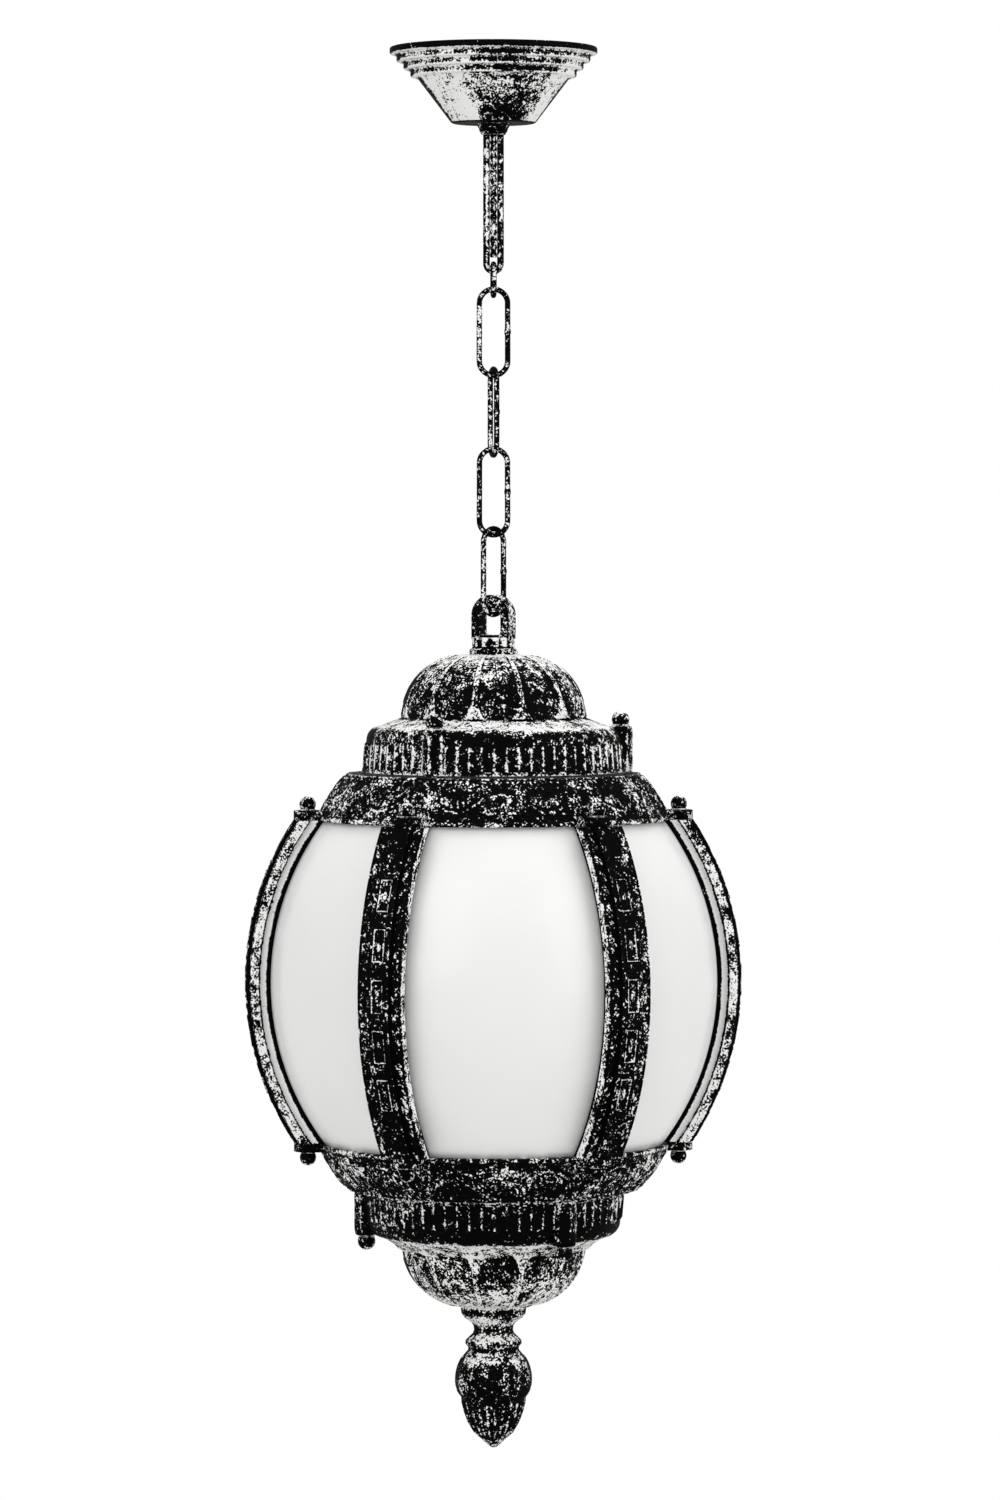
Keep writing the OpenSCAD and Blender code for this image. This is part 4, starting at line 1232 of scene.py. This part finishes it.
def bead():
    """A half-sunk ball with its top pressed flatter."""
    fresh()
    bpy.ops.mesh.primitive_uv_sphere_add(segments=20, ring_count=12, radius=BEAD_R * MM,
                                         location=((CREST_X - BEAD_R) * MM, 0, 0),
                                         rotation=(0, math.pi / 2, 0))
    knob = settle(bpy.context.object, "bead")
    edit(knob)
    pick(knob, lambda p, n: p.x > CREST_X - 0.35)
    bpy.ops.transform.resize(value=(0.4, 1, 1), center_override=(CREST_X * MM, 0, 0))
    fresh()
    return knob


def end_pad(side):
    """The plain pad at an end of the rib, with a groove round its field."""
    pad = box("end_pad", (CREST_X - 1.6, 0, 0), (2.4, 12, 14))
    edit(pad)
    pick(pad, lambda p, n: n.x > 0.9, "FACE")
    for inset, rise in ((1.5, -0.5), (0.8, 0.6)):
        bpy.ops.mesh.inset(thickness=inset * MM)
        bpy.ops.transform.translate(value=(rise * MM, 0, 0))
    soften(pad, 0.3, 2)
    pad.data.transform(swing(side * PAD_ALONG))
    edit(pad)
    cut_level(side * RIB_END, side)
    return clean(pad)


plain, knob = tablet(), bead()
for step in (-2, -1, 0, 1, 2):
    join(rib, copy_of(plain, "tablet_%d" % step, swing(TABLET_PITCH * step)))
for step in (-2.5, -1.5, -0.5, 0.5, 1.5, 2.5):
    join(rib, copy_of(knob, "bead_%d" % step, swing(TABLET_PITCH * step)))
join(rib, end_pad(1), end_pad(-1))
drop(plain, knob)
for k, angle in enumerate(range(0, 360, 60), 1):
    bar = copy_of(rib, "ornate_rib_%d" % k, ROOF @ turn(angle))
    home = turn(-angle) @ Matrix.Translation((0, 0, -WAIST))
    hand_over(bar, "lantern", CASTING, ["rib_%d" % k], carved=0.5, edge=1.0,
              painted_light=lambda p, n: rib_tone(home @ p, home.to_3x3() @ n))
drop(rib)

# %% [markdown]
# ## Ball screws
#
# Ball-headed screws hold the ribs and the two castings. One of each size is
# turned, with a small collar under its ball, and copied to its places.

# %% Ball screws
def ball_screw(name, radius, rise, shank):
    """A ball whose middle stands rise above its seat, with a collar and a shank below."""
    collar_h = 0.7
    low = math.degrees(math.asin(-(rise - collar_h) / radius))
    collar_r = radius * math.cos(math.radians(low)) + 0.35
    profile = [(0, -shank), (2, -shank), (2, 0), (collar_r, 0), (collar_r + 0.15, 0.2),
               (collar_r + 0.15, 0.5), (collar_r, collar_h)]
    return turned(name, profile + bow((0, rise), radius, low, 90, 16)[:-1] + [(0, rise + radius)], 32)


def screw_ring(name, model, radius, height, angles, place):
    """Copies of a screw round the axis, joined into one piece."""
    seat = Matrix.Translation((radius * MM, 0, height * MM))
    return join(*[copy_of(model, name, place @ turn(a) @ seat) for a in angles])


rib_screw = ball_screw("rib_screw", 4.1, 3.0, 15.6)
cast_screw = ball_screw("cast_screw", 4.4, 3.0, 32.0)
for name, place in (("upper", ROOF), ("lower", BASE)):
    ring = screw_ring(name + "_balls", rib_screw, EAR_RING, SKIRT_RIM + EAR_H, range(0, 360, 60), place)
    hand_over(ring, "lantern", SCREWS, [name + "_rib_screws"])
tops = screw_ring("crown_balls", cast_screw, LUG_RING, SHOULDER, [0, 120, 240], ROOF)
hand_over(tops, "lantern", SCREWS, ["crown_screws"])
for k in (1, 2, 3):
    single = screw_ring("cup_ball_%d" % k, cast_screw, LUG_RING, SHOULDER, [60 - 120 * k], BASE)
    hand_over(single, "cup_screw_%d" % k, SCREWS, ["cup_screw_%d" % k])
drop(rib_screw, cast_screw)

# %% [markdown]
# ## Finial
#
# The finial is an acorn on a waisted neck, in one turned profile, with 14
# leaf tongues raised on its cap and 24 ribs on the nut below. Both counts
# divide its 168 columns.

# %% Finial
FINIAL_COLUMNS = 168
TONGUES = 14
NUT_RIBS = 24
CAP_FROM = 188.5
CAP_LEN = 18.7
NUT_FROM = 210
NUT_TO = 232


def finial_profile():
    """The neck and acorn of the casting, heights from the waist."""
    edge = [(0, 163.1), (16.2, 163.1), (16.4, 165.4), (16.1, 167.2), (14.6, 169.3), (12.7, 170.7),
            (11.1, 171.9), (10.0, 173.6), (9.8, 175.8), (10.4, 177.4), (12.4, 179.3), (13.8, 180.7),
            (14.2, 181.8), (14.0, 182.8), (12.9, 184.0), (12.7, 185.0)]
    edge += bow((-1.75, 200.5), 20.65, -44.6, 20.1, 24) + [(16.9, 208.6), (16.3, 209.4)]
    for end, count in (((15.7, 212.0), 2), ((14.5, 216.8), 4), ((12.7, 221.8), 4), ((9.7, 226.8), 4),
                       ((4.8, 231.8), 5)):
        edge += run(edge[-1], end, count)
    return edge + [(2.8, 233.7), (1.4, 234.8), (0, 235.1)]


def acorn(x, y, z):
    """Leaf tongues on the cap and ribs on the nut."""
    a = math.degrees(math.atan2(y, x))
    if CAP_FROM < z < CAP_FROM + CAP_LEN:
        along = (z - CAP_FROM) / CAP_LEN
        place = abs((a * TONGUES / 360 + 0.5) % 1 - 0.5) * 2
        wide = 0.92 if along < 0.5 else 0.92 * swell((along - 0.5) / 0.5)
        tongue = swell(place / max(wide, 0.05)) * min(1, along / 0.12)
        return max(0.45 * tongue, 0.7 * swell(place / 0.16) * (along < 0.85))
    if NUT_FROM < z < NUT_TO:
        fade = min(1, (z - NUT_FROM) / 1.5, (NUT_TO - z) / 5)
        return 0.7 * fade * max(0.0, math.cos(math.radians(NUT_RIBS * a))) ** 0.7
    return 0


def finial_tone(place, normal):
    """Painted highlight where the neck and the cap look up or down and at the tip, darker on the nut, and
    painted shade at the outlines.
    """
    below = WAIST - place.z
    if below > 206:
        return (0.3 if below > 230 else -0.05) - OUTLINE_SHADE * silhouette_shade(normal)
    return 0.46 * min(1.0, max(0.0, abs(normal.z) - 0.3) / 0.4) - OUTLINE_SHADE * silhouette_shade(normal)


finial = turned("acorn_finial", finial_profile(), FINIAL_COLUMNS)
relief(finial, 0.7, acorn)
finial.data.transform(BASE)
hand_over(finial, "cup", CASTING, ["finial"], carved=0.4, edge=0.7, painted_light=finial_tone)

# %% [markdown]
# ## Pieces
#
# The dressed lantern has to stay inside the imported one. The last cell
# prints how many pieces there are.

# %% Finish
print("pieces:", len(PIECES))
